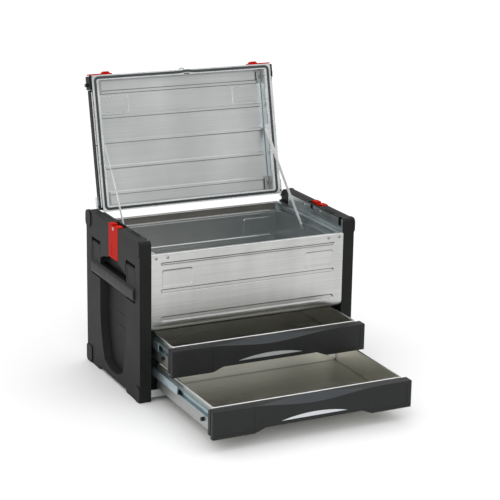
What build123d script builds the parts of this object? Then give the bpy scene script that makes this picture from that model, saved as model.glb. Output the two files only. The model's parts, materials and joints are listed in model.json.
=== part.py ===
from build123d import *
import math
import os

# Metal tool case with two drawers and a hinged lid, in millimetres, +Z up.
# While it is built, x = 0 is the middle, y = 0 the front of the side panels and z = 0 the
# floor. At the end everything is centred front to back, so that the origin is at the bottom
# centre of the case as it stands open: lid up, lower drawer out, upper drawer part way out.

# ---- overall size ----
WIDTH = 580.0
DEPTH = 350.0
HEIGHT = 404.0
PANEL_T = 30.0
SHEET_T = 1.2
OUTER_X = WIDTH / 2
INNER_X = OUTER_X - PANEL_T
SIDE_GAP = 0.2
OVERCUT = 1.0

# ---- tub ----
RIM_Z = 370.0
RIM_W = 8.0
TUB_Z = 173.0
TUB_BEND_R = 22.0
TUB_RETURN_Y = 40.0
TUB_SIDE_X = 246.0
CHANNEL_X = 254.0
CHANNEL_Z = 352.0
LEDGE_X = 245.0
BASE_Z = 11.0
BASE_LIP_Z = 30.0
BEAD_DEPTH = 2.5
BEAD_TAPER = 40
PANEL_BEADS = ((345.0, 6.0), (277.0, 10.0), (207.0, 12.0))
BEAD_HALF_X = 235.0
FIELD_X = (152.0, 232.0)
FIELD_Z = (289.0, 330.0)
FIELD_DEPTH = 1.5
FIELD_CORNER_R = 6.0
SHEET_FRONT_Y = 5.0
SHEET_BACK_Y = 296.0
SHEET_TOP_Z = 402.0
SHEET_CORNER_R = 6.0
SHEET_NOTCH_Y = (160.0, 174.0)
SHEET_NOTCH_Z = 392.0
BASE_FRONT_Y = 2.0
RIVET_SPOTS = ((123.0, 394.0), (205.0, 394.0))
RIVET_R = 3.2
RIVET_H = 1.3
SCREW_X = (218.0, 248.0)
SCREW_Z = 361.0
SCREW_R = 2.0
SCREW_HEAD_R = 4.0
SCREW_HEAD_H = 2.2
SCREW_HEAD_ROUND = 1.4
SCREW_L = 6.0

# ---- side panel ----
PANEL_TOP_R = 12.0
PANEL_EDGE_R = 4.0
NOTCH_Y = (86.0, 264.0)
NOTCH_H = 8.0
SCOOP_HALF = 87.0
SCOOP_DEPTH = 18.0
SCOOP_Y = 172.0
SCOOP_WAIST_HALF = 61.0
SCOOP_PEAK_Z = 320.0
SCOOP_SHOULDER_Z = 300.0
SCOOP_BEND_Z = 190.0
SCOOP_TAPER = (5.0, 112.0)
SCOOP_FOOT_Z = 40.0
SCOOP_LOW_Z = 23.0
HANDLE_POCKET_DEPTH = 14.5
HANDLE_POCKET_Z = 340.0
SLOT_X = INNER_X + 6.0
SLOT_FRONT_Y = 298.0
SLOT_Z = 373.0
CELL_COLUMNS = ((8.0, 74.0), (80.0, 138.0), (144.0, 206.0), (212.0, 270.0), (276.0, 342.0))
CELL_ROWS = ((14.0, 58.0), (100.0, 132.0), (176.0, 232.0), (240.0, 296.0), (304.0, 356.0))
CELL_DEPTH = 7.0
CELL_DEEP = 25.0
CELL_DEEP_TOP_Z = 240.0

# ---- lid, closed ----
LID_HALF_X = 247.0
LID_FRONT_Y = -3.5
LID_BACK_Y = 341.5
SEAL_Z = RIM_Z + 0.3
FLANGE_Z = SEAL_Z + 2.5
LID_TOP_Z = 401.0
LID_RIM_W = 13.2
LID_CORNER_R = 8.0
LID_EDGE_R = 3.0
SEAL_W = 6.6
SEAL_IN = 1.0
SEAL_CORNER_R = (10.0, 5.0)
LID_BEAD_Y = tuple(LID_BACK_Y - s for s in (44.0, 110.0, 175.0, 238.5, 300.5))
LID_BEAD_W = 10.0
LID_BEAD_HALF_X = 226.0
LID_FIELD_X = (148.0, 228.0)
LID_FIELD_Y = (LID_BACK_Y - 290.0, LID_BACK_Y - 248.0)
HINGE_Y = 344.5
HINGE_Z = 388.5
HINGE_R = 3.0
HINGE_EYE_R = 5.0
LID_OPEN = 102.7
RAIL_X = 256.5
RAIL_Y = (33.0, 336.0)
RAIL_Z = (376.0, 397.0)
RAIL_EDGE_R = 2.0
CORNER_Y = (-2.0, 32.0)
CORNER_Z = (374.0, 400.0)
ARM_X = (RAIL_X + 3.0, RAIL_X + 6.0)
ARM_FRONT_Y = 303.0
ARM_FOOT_Y = 325.0
HINGE_HEAD_X = (RAIL_X + 1.0, RAIL_X + 2.8)
PIN_END_X = OUTER_X - 10.0
TAB_R = 12.0
TAB_T = 2.5
TAB_Z = 388.0
TAB_HALF_H = 8.0
BRACKET_S = ((14.0, 48.0), (298.0, 328.0))
BRACKET_Z = (FLANGE_Z + 4.0, FLANGE_Z + 22.0)
BRACKET_T = 1.5
BRACKET_W = 14.0
BRACKET_RIVET = (7.0, 3.0, 5.0)
RUNNING = 0.05

# ---- lid bolts ----
LUG_Y = 20.0
LUG_Z = 390.0
LUG_END_X = 264.0
LUG_R = 4.5
LUG_GAP = 1.5
LUG_POCKET_HALF = 7.0
BOLT_END_GAP = 2.0
BOLT_HOLE_GAP = 0.3
BOLT_R = 2.4
BOLT_BORE_X = 249.0
BOLT_TRAVEL = 4.4
SLIDER_X = (192.0, 255.0)
SLIDER_Z = (380.0, 396.0)
SLIDER_T = 3.0
SLIDER_GAP = 0.4
SLIDER_BUMP_X = (198.0, 218.0)
SLIDER_BUMP_H = 5.0
SLIDER_BUMP_CHAMFER = 4.0
SLIDER_SLOT_X = (225.0, 251.0)
SLIDER_SLOT_Z = (384.0, 392.0)
TONGUE_X = (247.4, 249.9)
TONGUE_HALF_H = 4.0
TONGUE_SLOT_X = 254.6
TONGUE_SLOT_Z = (383.0, 397.0)

# ---- straps ----
STRAP_W = 10.0
STRAP_T = 1.2
STRAP_FOOT = (242.8, 190.0, 345.0)
STRAP_HEAD_Y = LID_BACK_Y - 177.0
STRAP_HEAD_Z = FLANGE_Z + 10.0
STRAP_HEAD_X = 229.8
STRAP_PLATE_T = 2.0
STRAP_PLATE_HALF = 9.0
STRAP_RIVET_R = 2.2
STRAP_RIVET_H = 0.9
ANCHOR_Z = (-10.0, 6.0)
ANCHOR_RIVET_Z = -7.5
HEAD_PLATE_Z = (-7.0, 9.0)
HEAD_RIVET_Z = 6.5

# ---- drawers, closed ----
FRONT_HALF_X = 259.4
FRONT_T = 26.0
FRONT_H = 66.5
FRONT_EDGE_R = 1.5
FRONT_WALL = 4.0
FRONT_SKIN = 5.0
FRONT_HOLLOW_Z = (15.0, 49.5)
PAD_X = (153.0, 247.0)
PAD_IN = 7.0
PAD_DEPTH = 0.8
LOWER_Z = 31.5
UPPER_Z = 102.0
UPPER_OUT = 123.0
LOWER_OUT = 349.0
TRAY_HALF_X = 246.5
TRAY_BACK_Y = 344.0
TRAY_LIFT = 5.0
TRAY_T = 1.0
TRAY_TOP_GAP = 0.4
TRAY_RIVET_R = 2.2
TRAY_RIVET_H = 1.0
TRAY_RIVET_IN = 16.0
TRAY_RIVET_Z = (18.0, 54.5)
HEM_W = 3.5
HEM_H = 2.4
SMILE_HALF = 136.0
SMILE_DROP = 12.5
CUT_HALF_X = (152.0, 126.0)
CUT_H = 10.5
CRESCENT_HALF = 86.0
CRESCENT_LOW = 20.5
CRESCENT_H = 10.0
CRESCENT_T = 2.0
RUNNER_Y = (28.0, 346.0)
RUNNER_DROP = 18.0
FIXED_RUNNER = (INNER_X, INNER_X - 9.8, 13.5, 1.2)
MID_RUNNER = (INNER_X - 3.2, INNER_X - 9.5, 10.6, 1.0)
INNER_RUNNER = (TRAY_HALF_X, TRAY_HALF_X + 8.0, 8.3, 1.0)
LEVER_Y = 78.0
LEVER_UP = 23.0
LEVER_R = 5.0
LEVER_L = 6.0

# ---- handle ----
HANDLE_LEG_Y = ((31.0, 85.0), (257.0, 311.0))
HANDLE_X = 283.0
HANDLE_PIVOT_Z = 327.0
HANDLE_LEG_R = 6.5
HANDLE_BAR_Z = 266.0
HANDLE_BAR_HALF_H = 18.0
HANDLE_BAR_HALF_T = 12.0
HANDLE_CORE_R = 5.0
HANDLE_PIN_R = 2.5
HANDLE_PIN_REACH = 11.0
HANDLE_GAP = 3.0
HANDLE_BAR_GAP = 1.5
HANDLE_NECK_HALF = 4.0
HANDLE_NECK_H = 8.0
GRIP_OVERHANG = 1.0
GRIP_EDGE_R = 8.0
GRIP_END_R = 3.0

# ---- stacking latch ----
LATCH_Y = (138.0, 196.0)
LATCH_Z = (320.5, 406.0)
LATCH_T = 6.0
LATCH_LIP_X = 271.0
LATCH_LIP_T = 6.0
LATCH_PIVOT_X = 280.0
LATCH_PIVOT_Z = 390.0
LATCH_PIN_R = 2.5
LATCH_POCKET_X = 264.0
LATCH_POCKET_Z = 378.0
LATCH_RECESS_Z = 300.0
LATCH_GAP = 1.0
LATCH_PROUD = 0.5
LATCH_WALL = 2.5
LATCH_PIN_REACH = 8.0
LATCH_NOTCH_HALF = 7.0
LATCH_NOTCH_DEPTH = 3.0
LATCH_RIVET_Z = LATCH_PIVOT_Z + 5.5
LATCH_RIVET_R = (1.3, 2.2, 4.0)
LATCH_RIVET_H = 1.0
LATCH_RIVET_L = 4.0


def block(x, y, z):
    """Box between two corners, given as (low, high) pairs."""
    size = (x[1] - x[0], y[1] - y[0], z[1] - z[0])
    middle = ((x[0] + x[1]) / 2, (y[0] + y[1]) / 2, (z[0] + z[1]) / 2)
    return Pos(*middle) * Box(*size)


def rod_x(x, y, z, radius):
    """Round bar along X between two x values."""
    return Pos((x[0] + x[1]) / 2, y, z) * Rot(0, 90, 0) * Cylinder(radius, x[1] - x[0])


def rod_y(y, x, z, radius):
    """Round bar along Y between two y values."""
    return Pos(x, (y[0] + y[1]) / 2, z) * Rot(90, 0, 0) * Cylinder(radius, y[1] - y[0])


def mirrored(solid):
    """The same piece on the left-hand side."""
    return mirror(solid, about=Plane.YZ)


def both_sides(solid):
    """A piece and its mirror image as one group of separate solids."""
    return Compound([*solid.solids(), *mirrored(solid).solids()])


def opened(solid):
    """A piece of the closed lid, turned up to the open lid."""
    return solid.rotate(Axis((0, HINGE_Y, HINGE_Z), (1, 0, 0)), -LID_OPEN)


def side_face(edges, x):
    """Face of edges drawn in (y, z), placed at x."""
    return Plane.YZ.offset(x) * make_face(edges)


def front_bead(x, z, width, y_face, inward):
    """Pressed bead along X on an upright sheet: the hollow and the ridge behind it."""
    outline = Pos((x[0] + x[1]) / 2, z) * SlotOverall(x[1] - x[0], width)
    return pressed(outline, y_face, inward, BEAD_DEPTH)


def pressed(outline, y_face, inward, depth):
    """Hollow and ridge of a pressing in an upright sheet whose outer face is at y_face."""
    plane = Plane((0, y_face, 0), x_dir=(1, 0, 0), z_dir=(0, -1, 0))
    reach = -depth * inward
    hollow = extrude(plane * outline, amount=reach, taper=BEAD_TAPER)
    back = Plane((0, y_face + SHEET_T * inward, 0), x_dir=(1, 0, 0), z_dir=(0, -1, 0))
    ridge = extrude(back * outline, amount=reach, taper=BEAD_TAPER)
    return hollow, ridge


def with_pressings(sheet, y_face, inward):
    """Adds the three beads and two fields that stiffen the front and back sheets."""
    shapes = [front_bead((-BEAD_HALF_X, BEAD_HALF_X), z, w, y_face, inward) for z, w in PANEL_BEADS]
    for side in (-1, 1):
        middle = side * sum(FIELD_X) / 2
        size = (FIELD_X[1] - FIELD_X[0], FIELD_Z[1] - FIELD_Z[0])
        outline = Pos(middle, sum(FIELD_Z) / 2) * RectangleRounded(*size, FIELD_CORNER_R)
        shapes.append(pressed(outline, y_face, inward, FIELD_DEPTH))
    for _, ridge in shapes:
        sheet = sheet + ridge
    for hollow, _ in shapes:
        sheet = sheet - hollow
    return sheet


# ---------------------------------------------------------------- side panels

def scoop_outline():
    """Arched hand scoop: straight upper sides, narrowing to a rounded bottom."""
    left, right = SCOOP_Y - SCOOP_HALF, SCOOP_Y + SCOOP_HALF
    foot_left, foot_right = SCOOP_Y - SCOOP_WAIST_HALF, SCOOP_Y + SCOOP_WAIST_HALF
    inset, mid_z = SCOOP_TAPER
    return [
        Line((left, SCOOP_BEND_Z), (left, SCOOP_SHOULDER_Z)),
        ThreePointArc((left, SCOOP_SHOULDER_Z), (SCOOP_Y, SCOOP_PEAK_Z), (right, SCOOP_SHOULDER_Z)),
        Line((right, SCOOP_SHOULDER_Z), (right, SCOOP_BEND_Z)),
        ThreePointArc((right, SCOOP_BEND_Z), (right - inset, mid_z), (foot_right, SCOOP_FOOT_Z)),
        ThreePointArc((foot_right, SCOOP_FOOT_Z), (SCOOP_Y, SCOOP_LOW_Z), (foot_left, SCOOP_FOOT_Z)),
        ThreePointArc((foot_left, SCOOP_FOOT_Z), (left + inset, mid_z), (left, SCOOP_BEND_Z)),
    ]


def handle_pocket():
    """Pocket that the folded handle lies in: two legs and the deeper bar across them."""
    legs_x = (OUTER_X - HANDLE_POCKET_DEPTH, OUTER_X + OVERCUT)
    bar_x = (HANDLE_X - HANDLE_BAR_HALF_T - HANDLE_BAR_GAP, OUTER_X + OVERCUT)
    low = HANDLE_BAR_Z - HANDLE_BAR_HALF_H - HANDLE_GAP
    high = HANDLE_BAR_Z + HANDLE_BAR_HALF_H + HANDLE_GAP
    bar_y = (HANDLE_LEG_Y[0][0] - HANDLE_GAP, HANDLE_LEG_Y[1][1] + HANDLE_GAP)
    pocket = block(bar_x, bar_y, (low, high))
    for y in HANDLE_LEG_Y:
        pocket = pocket + block(legs_x, (y[0] - HANDLE_GAP, y[1] + HANDLE_GAP), (low, HANDLE_POCKET_Z))
    return pocket


def panel_cavities():
    """Ribbed cells that open to the inside of a moulded panel, deep beside the scoop."""
    cells = []
    for y in CELL_COLUMNS:
        for z in CELL_ROWS:
            beside_scoop = y in (CELL_COLUMNS[0], CELL_COLUMNS[-1]) and z[1] < CELL_DEEP_TOP_Z
            depth = CELL_DEEP if beside_scoop else CELL_DEPTH
            cells.append(block((INNER_X - OVERCUT, INNER_X + depth), y, z))
    return cells


def side_panel():
    """Right-hand end cheek with scoop, handle pocket, latch pocket, lug pocket and feet."""
    panel = block((INNER_X, OUTER_X), (0, DEPTH), (0, HEIGHT))
    along_x = panel.edges().filter_by(Axis.X)
    panel = fillet(along_x.group_by(Axis.Z)[-1], PANEL_TOP_R)
    panel = fillet(panel.faces().sort_by(Axis.X)[-1].edges(), PANEL_EDGE_R)
    inside_x, outside_x = INNER_X - OVERCUT, OUTER_X + OVERCUT
    above = HEIGHT + OVERCUT
    panel = panel - block((inside_x, outside_x), NOTCH_Y, (-OVERCUT, NOTCH_H))
    panel = panel - extrude(side_face(scoop_outline(), outside_x), amount=-SCOOP_DEPTH - OVERCUT)
    panel = panel - handle_pocket()
    for hollow in panel_cavities():
        panel = panel - hollow
    latch_y = (LATCH_Y[0] - LATCH_GAP, LATCH_Y[1] + LATCH_GAP)
    panel = panel - block((OUTER_X - LATCH_T - LATCH_GAP, outside_x), latch_y, (LATCH_RECESS_Z, above))
    panel = panel - block((LATCH_POCKET_X, outside_x), latch_y, (LATCH_POCKET_Z, above))
    panel = panel - block((inside_x, SLOT_X), (SLOT_FRONT_Y, DEPTH + OVERCUT), (SLOT_Z, above))
    lug_y = (LUG_Y - LUG_POCKET_HALF, LUG_Y + LUG_POCKET_HALF)
    panel = panel - block((inside_x, LUG_END_X + LUG_GAP), lug_y, (LUG_Z - LUG_POCKET_HALF, above))
    bolt_end = LUG_END_X + BOLT_TRAVEL + BOLT_END_GAP
    panel = panel - rod_x((INNER_X, bolt_end), LUG_Y, LUG_Z, BOLT_R + BOLT_HOLE_GAP)
    panel = panel - rod_x((INNER_X, PIN_END_X), HINGE_Y, HINGE_Z, HINGE_R)
    for y in handle_pin_spans():
        panel = panel - rod_y(y, HANDLE_X, HANDLE_PIVOT_Z, HANDLE_PIN_R)
    return panel - rod_y(latch_pin_span(), LATCH_PIVOT_X, LATCH_PIVOT_Z, LATCH_PIN_R)


def handle_pin_spans():
    """Y spans of the two handle pins, each sunk into the panel beside its leg."""
    return [(y[0] - HANDLE_PIN_REACH, y[1] + HANDLE_PIN_REACH) for y in HANDLE_LEG_Y]


def latch_pin_span():
    """Y span of the latch pin, sunk into the panel on both sides of the latch."""
    return (LATCH_Y[0] - LATCH_PIN_REACH, LATCH_Y[1] + LATCH_PIN_REACH)


def side_sheet():
    """Right-hand inner sheet: upright above the rim, folded in to the compartment ledge."""
    x = (INNER_X - SHEET_T, INNER_X)
    sheet = block(x, (SHEET_FRONT_Y, SHEET_BACK_Y), (RIM_Z, SHEET_TOP_Z))
    sheet = fillet(sheet.edges().filter_by(Axis.X).group_by(Axis.Z)[-1], SHEET_CORNER_R)
    ledge_y = (RIM_W + SIDE_GAP, DEPTH - SHEET_T - RIM_W)
    sheet = sheet + block((LEDGE_X, INNER_X), ledge_y, (RIM_Z - SHEET_T, RIM_Z))
    through = (x[0] - OVERCUT, x[1] + OVERCUT)
    lug_y = (LUG_Y - LUG_POCKET_HALF, LUG_Y + LUG_POCKET_HALF)
    sheet = sheet - block(through, lug_y, (LUG_Z - LUG_POCKET_HALF, HEIGHT))
    return sheet - block(through, SHEET_NOTCH_Y, (SHEET_NOTCH_Z, HEIGHT))


def tub_side():
    """Right-hand compartment wall, stepped outwards below the ledge as a channel."""
    y = (SHEET_T + SIDE_GAP, DEPTH - 2 * SHEET_T - SIDE_GAP)
    x = (TUB_SIDE_X, TUB_SIDE_X + SHEET_T)
    wall = block(x, y, (TUB_Z + 2 * SHEET_T, CHANNEL_Z))
    lower_front = wall.edges().filter_by(Axis.X).group_by(Axis.Z)[0].sort_by(Axis.Y)[0]
    wall = fillet(lower_front, TUB_BEND_R - SHEET_T + SIDE_GAP)
    wall = wall + block((TUB_SIDE_X, CHANNEL_X + SHEET_T), y, (CHANNEL_Z - SHEET_T, CHANNEL_Z))
    upper = (CHANNEL_Z - SHEET_T, RIM_Z - SHEET_T)
    return wall + block((CHANNEL_X, CHANNEL_X + SHEET_T), y, upper)


# ---------------------------------------------------------------- tub sheets

def front_panel():
    """Front sheet: rim flange, pressed face, and a round bend under the compartment."""
    r_in = TUB_BEND_R - SHEET_T
    bend_z = TUB_Z + TUB_BEND_R
    edges = [
        Line((0, RIM_Z), (0, bend_z)),
        RadiusArc((0, bend_z), (TUB_BEND_R, TUB_Z), -TUB_BEND_R),
        Line((TUB_BEND_R, TUB_Z), (TUB_RETURN_Y, TUB_Z)),
        Line((TUB_RETURN_Y, TUB_Z), (TUB_RETURN_Y, TUB_Z + SHEET_T)),
        Line((TUB_RETURN_Y, TUB_Z + SHEET_T), (TUB_BEND_R, TUB_Z + SHEET_T)),
        RadiusArc((TUB_BEND_R, TUB_Z + SHEET_T), (SHEET_T, bend_z), r_in),
        Line((SHEET_T, bend_z), (SHEET_T, RIM_Z - SHEET_T)),
        Line((SHEET_T, RIM_Z - SHEET_T), (RIM_W, RIM_Z - SHEET_T)),
        Line((RIM_W, RIM_Z - SHEET_T), (RIM_W, RIM_Z)),
        Line((RIM_W, RIM_Z), (0, RIM_Z)),
    ]
    half = INNER_X - SIDE_GAP
    sheet = extrude(side_face(edges, -half), amount=2 * half)
    sheet = with_pressings(sheet, 0, 1)
    for x in SCREW_X:
        for side in (-1, 1):
            sheet = sheet - rod_y((-OVERCUT, SHEET_T + OVERCUT), side * x, SCREW_Z, SCREW_R)
    return sheet


def back_panel():
    """Back sheet over the full height, with a rim flange at the top."""
    half = INNER_X - SIDE_GAP
    y_out = DEPTH - SHEET_T
    sheet = block((-half, half), (y_out - SHEET_T, y_out), (BASE_Z + SHEET_T, RIM_Z))
    sheet = sheet + block((-half, half), (y_out - RIM_W, y_out), (RIM_Z - SHEET_T, RIM_Z))
    return with_pressings(sheet, y_out, -1)


def tub_floor():
    """Bottom of the compartment, lying on the front sheet's return."""
    half = INNER_X - SIDE_GAP
    z = (TUB_Z + SHEET_T, TUB_Z + 2 * SHEET_T)
    return block((-half, half), (TUB_BEND_R, DEPTH - 2 * SHEET_T), z)


def base_pan():
    """Floor under the drawers with an upright front lip."""
    half = INNER_X - SIDE_GAP
    pan = block((-half, half), (BASE_FRONT_Y, DEPTH - SHEET_T), (BASE_Z, BASE_Z + SHEET_T))
    return pan + block((-half, half), (BASE_FRONT_Y, BASE_FRONT_Y + SHEET_T), (BASE_Z, BASE_LIP_Z))


def front_screws():
    """Round-headed screws in the front sheet's top corners."""
    solids = []
    for x in (-SCREW_X[1], -SCREW_X[0], SCREW_X[0], SCREW_X[1]):
        head = rod_y((-SCREW_HEAD_H, 0), x, SCREW_Z, SCREW_HEAD_R)
        head = fillet(head.edges().sort_by(Axis.Y)[0], SCREW_HEAD_ROUND)
        screw = head + rod_y((0, SCREW_L), x, SCREW_Z, SCREW_R)
        solids.extend(screw.solids())
    return Compound(solids)


def sheet_rivets():
    """Rivet heads on the inner side sheets."""
    x = (INNER_X - SHEET_T - RIVET_H, INNER_X - SHEET_T)
    heads = Compound([rod_x(x, y, z, RIVET_R) for y, z in RIVET_SPOTS])
    return both_sides(heads)


def riveted_plate(face_x, y, z, plate_z, rivet_z):
    """Small plate on a wall whose inner face is at face_x, with a rivet head on it."""
    x = (face_x - STRAP_PLATE_T, face_x)
    plate = block(x, (y - STRAP_PLATE_HALF, y + STRAP_PLATE_HALF), (z + plate_z[0], z + plate_z[1]))
    return plate + rod_x((x[0] - STRAP_RIVET_H, x[1]), y, z + rivet_z, STRAP_RIVET_R)


def strap_anchors():
    """Riveted plates on the compartment walls that hold the lower strap ends."""
    _, y, z = STRAP_FOOT
    return both_sides(riveted_plate(TUB_SIDE_X, y, z, ANCHOR_Z, ANCHOR_RIVET_Z))


# ---------------------------------------------------------------- lid

def lid_pan():
    """Pressed lid: flat top, skirt, hollow rim beam and stiffening beads."""
    x = (-LID_HALF_X, LID_HALF_X)
    y = (LID_FRONT_Y, LID_BACK_Y)
    pan = block(x, y, (FLANGE_Z, LID_TOP_Z))
    pan = fillet(pan.edges().filter_by(Axis.Z), LID_CORNER_R)
    pan = fillet(pan.faces().sort_by(Axis.Z)[-1].edges(), LID_EDGE_R)
    inner_x = LID_HALF_X - LID_RIM_W
    inner_y = (y[0] + LID_RIM_W, y[1] - LID_RIM_W)
    under = LID_TOP_Z - SHEET_T
    pan = pan - block((-inner_x, inner_x), inner_y, (FLANGE_Z - OVERCUT, under))
    pan = pan - rim_hollow(x, y, inner_x, inner_y, under)
    for bead_y in LID_BEAD_Y:
        outline = Pos(0, bead_y) * SlotOverall(2 * LID_BEAD_HALF_X, LID_BEAD_W)
        pan = lid_pressing(pan, outline, BEAD_DEPTH)
    size = (LID_FIELD_X[1] - LID_FIELD_X[0], LID_FIELD_Y[1] - LID_FIELD_Y[0])
    slot_y = (y[0] - OVERCUT, y[0] + SHEET_T + OVERCUT)
    for side in (-1, 1):
        middle = Pos(side * sum(LID_FIELD_X) / 2, sum(LID_FIELD_Y) / 2)
        pan = lid_pressing(pan, middle * RectangleRounded(*size, FIELD_CORNER_R), FIELD_DEPTH)
        slot_x = sorted((side * SLIDER_SLOT_X[0], side * SLIDER_SLOT_X[1]))
        pan = pan - block(slot_x, slot_y, SLIDER_SLOT_Z)
    return pan


def lid_pressing(pan, outline, depth):
    """One pressing in the lid's top sheet, sunk towards the inside."""
    under = Plane((0, 0, LID_TOP_Z - SHEET_T), z_dir=(0, 0, 1))
    ridge = extrude(under * outline, amount=-depth, taper=BEAD_TAPER)
    hollow = extrude(Pos(0, 0, LID_TOP_Z) * outline, amount=-depth, taper=BEAD_TAPER)
    return pan + ridge - hollow


def rim_hollow(x, y, inner_x, inner_y, under):
    """Ring-shaped space inside the folded rim beam."""
    z = (FLANGE_Z + SHEET_T, under)
    wide = block((x[0] + SHEET_T, x[1] - SHEET_T), (y[0] + SHEET_T, y[1] - SHEET_T), z)
    wide = fillet(wide.edges().filter_by(Axis.Z), LID_CORNER_R - SHEET_T)
    core_x = inner_x + SHEET_T
    core = block((-core_x, core_x), (inner_y[0] - SHEET_T, inner_y[1] + SHEET_T), z)
    return wide - core


def lid_seal():
    """Rubber seal around the lid's underside, on the flange."""
    half = LID_HALF_X - SEAL_IN
    depth = LID_BACK_Y - LID_FRONT_Y - 2 * SEAL_IN
    middle = (LID_BACK_Y + LID_FRONT_Y) / 2
    outer = RectangleRounded(2 * half, depth, SEAL_CORNER_R[0])
    inner = RectangleRounded(2 * (half - SEAL_W), depth - 2 * SEAL_W, SEAL_CORNER_R[1])
    return extrude(Pos(0, middle, SEAL_Z) * (outer - inner), amount=FLANGE_Z - SEAL_Z)


def lid_rail():
    """Black moulded rail along the lid's right side."""
    rail = block((LID_HALF_X, RAIL_X), RAIL_Y, RAIL_Z)
    return fillet(rail.edges().filter_by(Axis.Y).sort_by(Axis.X)[-2:], RAIL_EDGE_R)


def lid_corner():
    """Black corner block with the locating lug that carries the bolt."""
    corner = block((LID_HALF_X, RAIL_X + 1), CORNER_Y, CORNER_Z)
    corner = fillet(corner.edges().filter_by(Axis.Z).sort_by(Axis.X)[-2:], RAIL_EDGE_R)
    corner = corner + rod_x((RAIL_X, LUG_END_X), LUG_Y, LUG_Z, LUG_R)
    corner = corner - rod_x((BOLT_BORE_X, LUG_END_X + OVERCUT), LUG_Y, LUG_Z, BOLT_R + RUNNING)
    slot_y = (CORNER_Y[0] - OVERCUT, LUG_Y + LUG_R)
    return corner - block((LID_HALF_X, TONGUE_SLOT_X), slot_y, TONGUE_SLOT_Z)


def hinge_arm():
    """Steel arm on the lid's rear corner, with the eye that turns on the hinge pin."""
    z = (HINGE_Z - HINGE_EYE_R, HINGE_Z + HINGE_EYE_R)
    arm = block(ARM_X, (ARM_FRONT_Y, HINGE_Y), z)
    arm = arm + rod_x(ARM_X, HINGE_Y, HINGE_Z, HINGE_EYE_R)
    arm = arm + block((RAIL_X, ARM_X[1]), (ARM_FRONT_Y, ARM_FOOT_Y), z)
    through = (ARM_X[0] - OVERCUT, ARM_X[1] + OVERCUT)
    return arm - rod_x(through, HINGE_Y, HINGE_Z, HINGE_R + RUNNING)


def hinge_pins():
    """Headed steel pins held in the side panels."""
    pin = rod_x((HINGE_HEAD_X[1], PIN_END_X), HINGE_Y, HINGE_Z, HINGE_R)
    head = rod_x(HINGE_HEAD_X, HINGE_Y, HINGE_Z, HINGE_EYE_R - SIDE_GAP)
    return both_sides(pin + head)


def pull_tab():
    """Half-round steel tab in the middle of the lid's front."""
    disc = Pos(0, LID_FRONT_Y, TAB_Z) * Cylinder(TAB_R, TAB_T)
    front_y = (LID_FRONT_Y - TAB_R - OVERCUT, LID_FRONT_Y)
    across = (-TAB_R - OVERCUT, TAB_R + OVERCUT)
    return disc & block(across, front_y, (TAB_Z - TAB_HALF_H, TAB_Z + TAB_HALF_H))


def lid_brackets():
    """Folded brackets inside the lid's side walls, near the front and rear corners."""
    wall = LID_HALF_X - LID_RIM_W
    rivet_up, rivet_r, rivet_l = BRACKET_RIVET
    pieces = []
    for s in BRACKET_S:
        y = (LID_BACK_Y - s[1], LID_BACK_Y - s[0])
        bracket = block((wall - BRACKET_T, wall), y, BRACKET_Z)
        bracket = bracket + block((wall - BRACKET_W, wall), y, (BRACKET_Z[1] - BRACKET_T, BRACKET_Z[1]))
        bracket = bracket + rod_x((wall - rivet_l, wall), sum(y) / 2, BRACKET_Z[0] + rivet_up, rivet_r)
        pieces.extend(bracket.solids())
    return both_sides(Compound(pieces))


def strap_plates():
    """Riveted plates on the lid's inner side walls that hold the upper strap ends."""
    wall = LID_HALF_X - LID_RIM_W
    return both_sides(riveted_plate(wall, STRAP_HEAD_Y, STRAP_HEAD_Z, HEAD_PLATE_Z, HEAD_RIVET_Z))


def lid_slider():
    """Red slide on the lid's front, with the finger bump and the tongue to the bolt."""
    y = (LID_FRONT_Y - SLIDER_T - SLIDER_GAP, LID_FRONT_Y - SLIDER_GAP)
    slider = block(SLIDER_X, y, SLIDER_Z)
    bump = block(SLIDER_BUMP_X, (y[0] - SLIDER_BUMP_H, y[0]), SLIDER_Z)
    outer_edges = bump.edges().filter_by(Axis.Z).sort_by(Axis.Y)[:2]
    slider = slider + chamfer(outer_edges, SLIDER_BUMP_CHAMFER)
    tongue_z = (LUG_Z - TONGUE_HALF_H, LUG_Z + TONGUE_HALF_H)
    return slider + block(TONGUE_X, (y[1], LUG_Y + TONGUE_HALF_H - OVERCUT), tongue_z)


def lid_bolt():
    """Steel bolt that the slider pushes out through the lug."""
    return rod_x((TONGUE_X[1], LUG_END_X - BOLT_HOLE_GAP), LUG_Y, LUG_Z, BOLT_R)


def strap():
    """Flat restraint strap between the compartment wall and the open lid, on the right."""
    angle = math.radians(-LID_OPEN)
    dy, dz = STRAP_HEAD_Y - HINGE_Y, STRAP_HEAD_Z - HINGE_Z
    top = Vector(
        STRAP_HEAD_X,
        HINGE_Y + dy * math.cos(angle) - dz * math.sin(angle),
        HINGE_Z + dy * math.sin(angle) + dz * math.cos(angle),
    )
    foot = Vector(*STRAP_FOOT)
    run = top - foot
    plane = Plane(foot, x_dir=(1, 0, -run.X / run.Z), z_dir=run)
    return extrude(plane * Rectangle(STRAP_T, STRAP_W), amount=run.length)


# ---------------------------------------------------------------- handles

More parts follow.
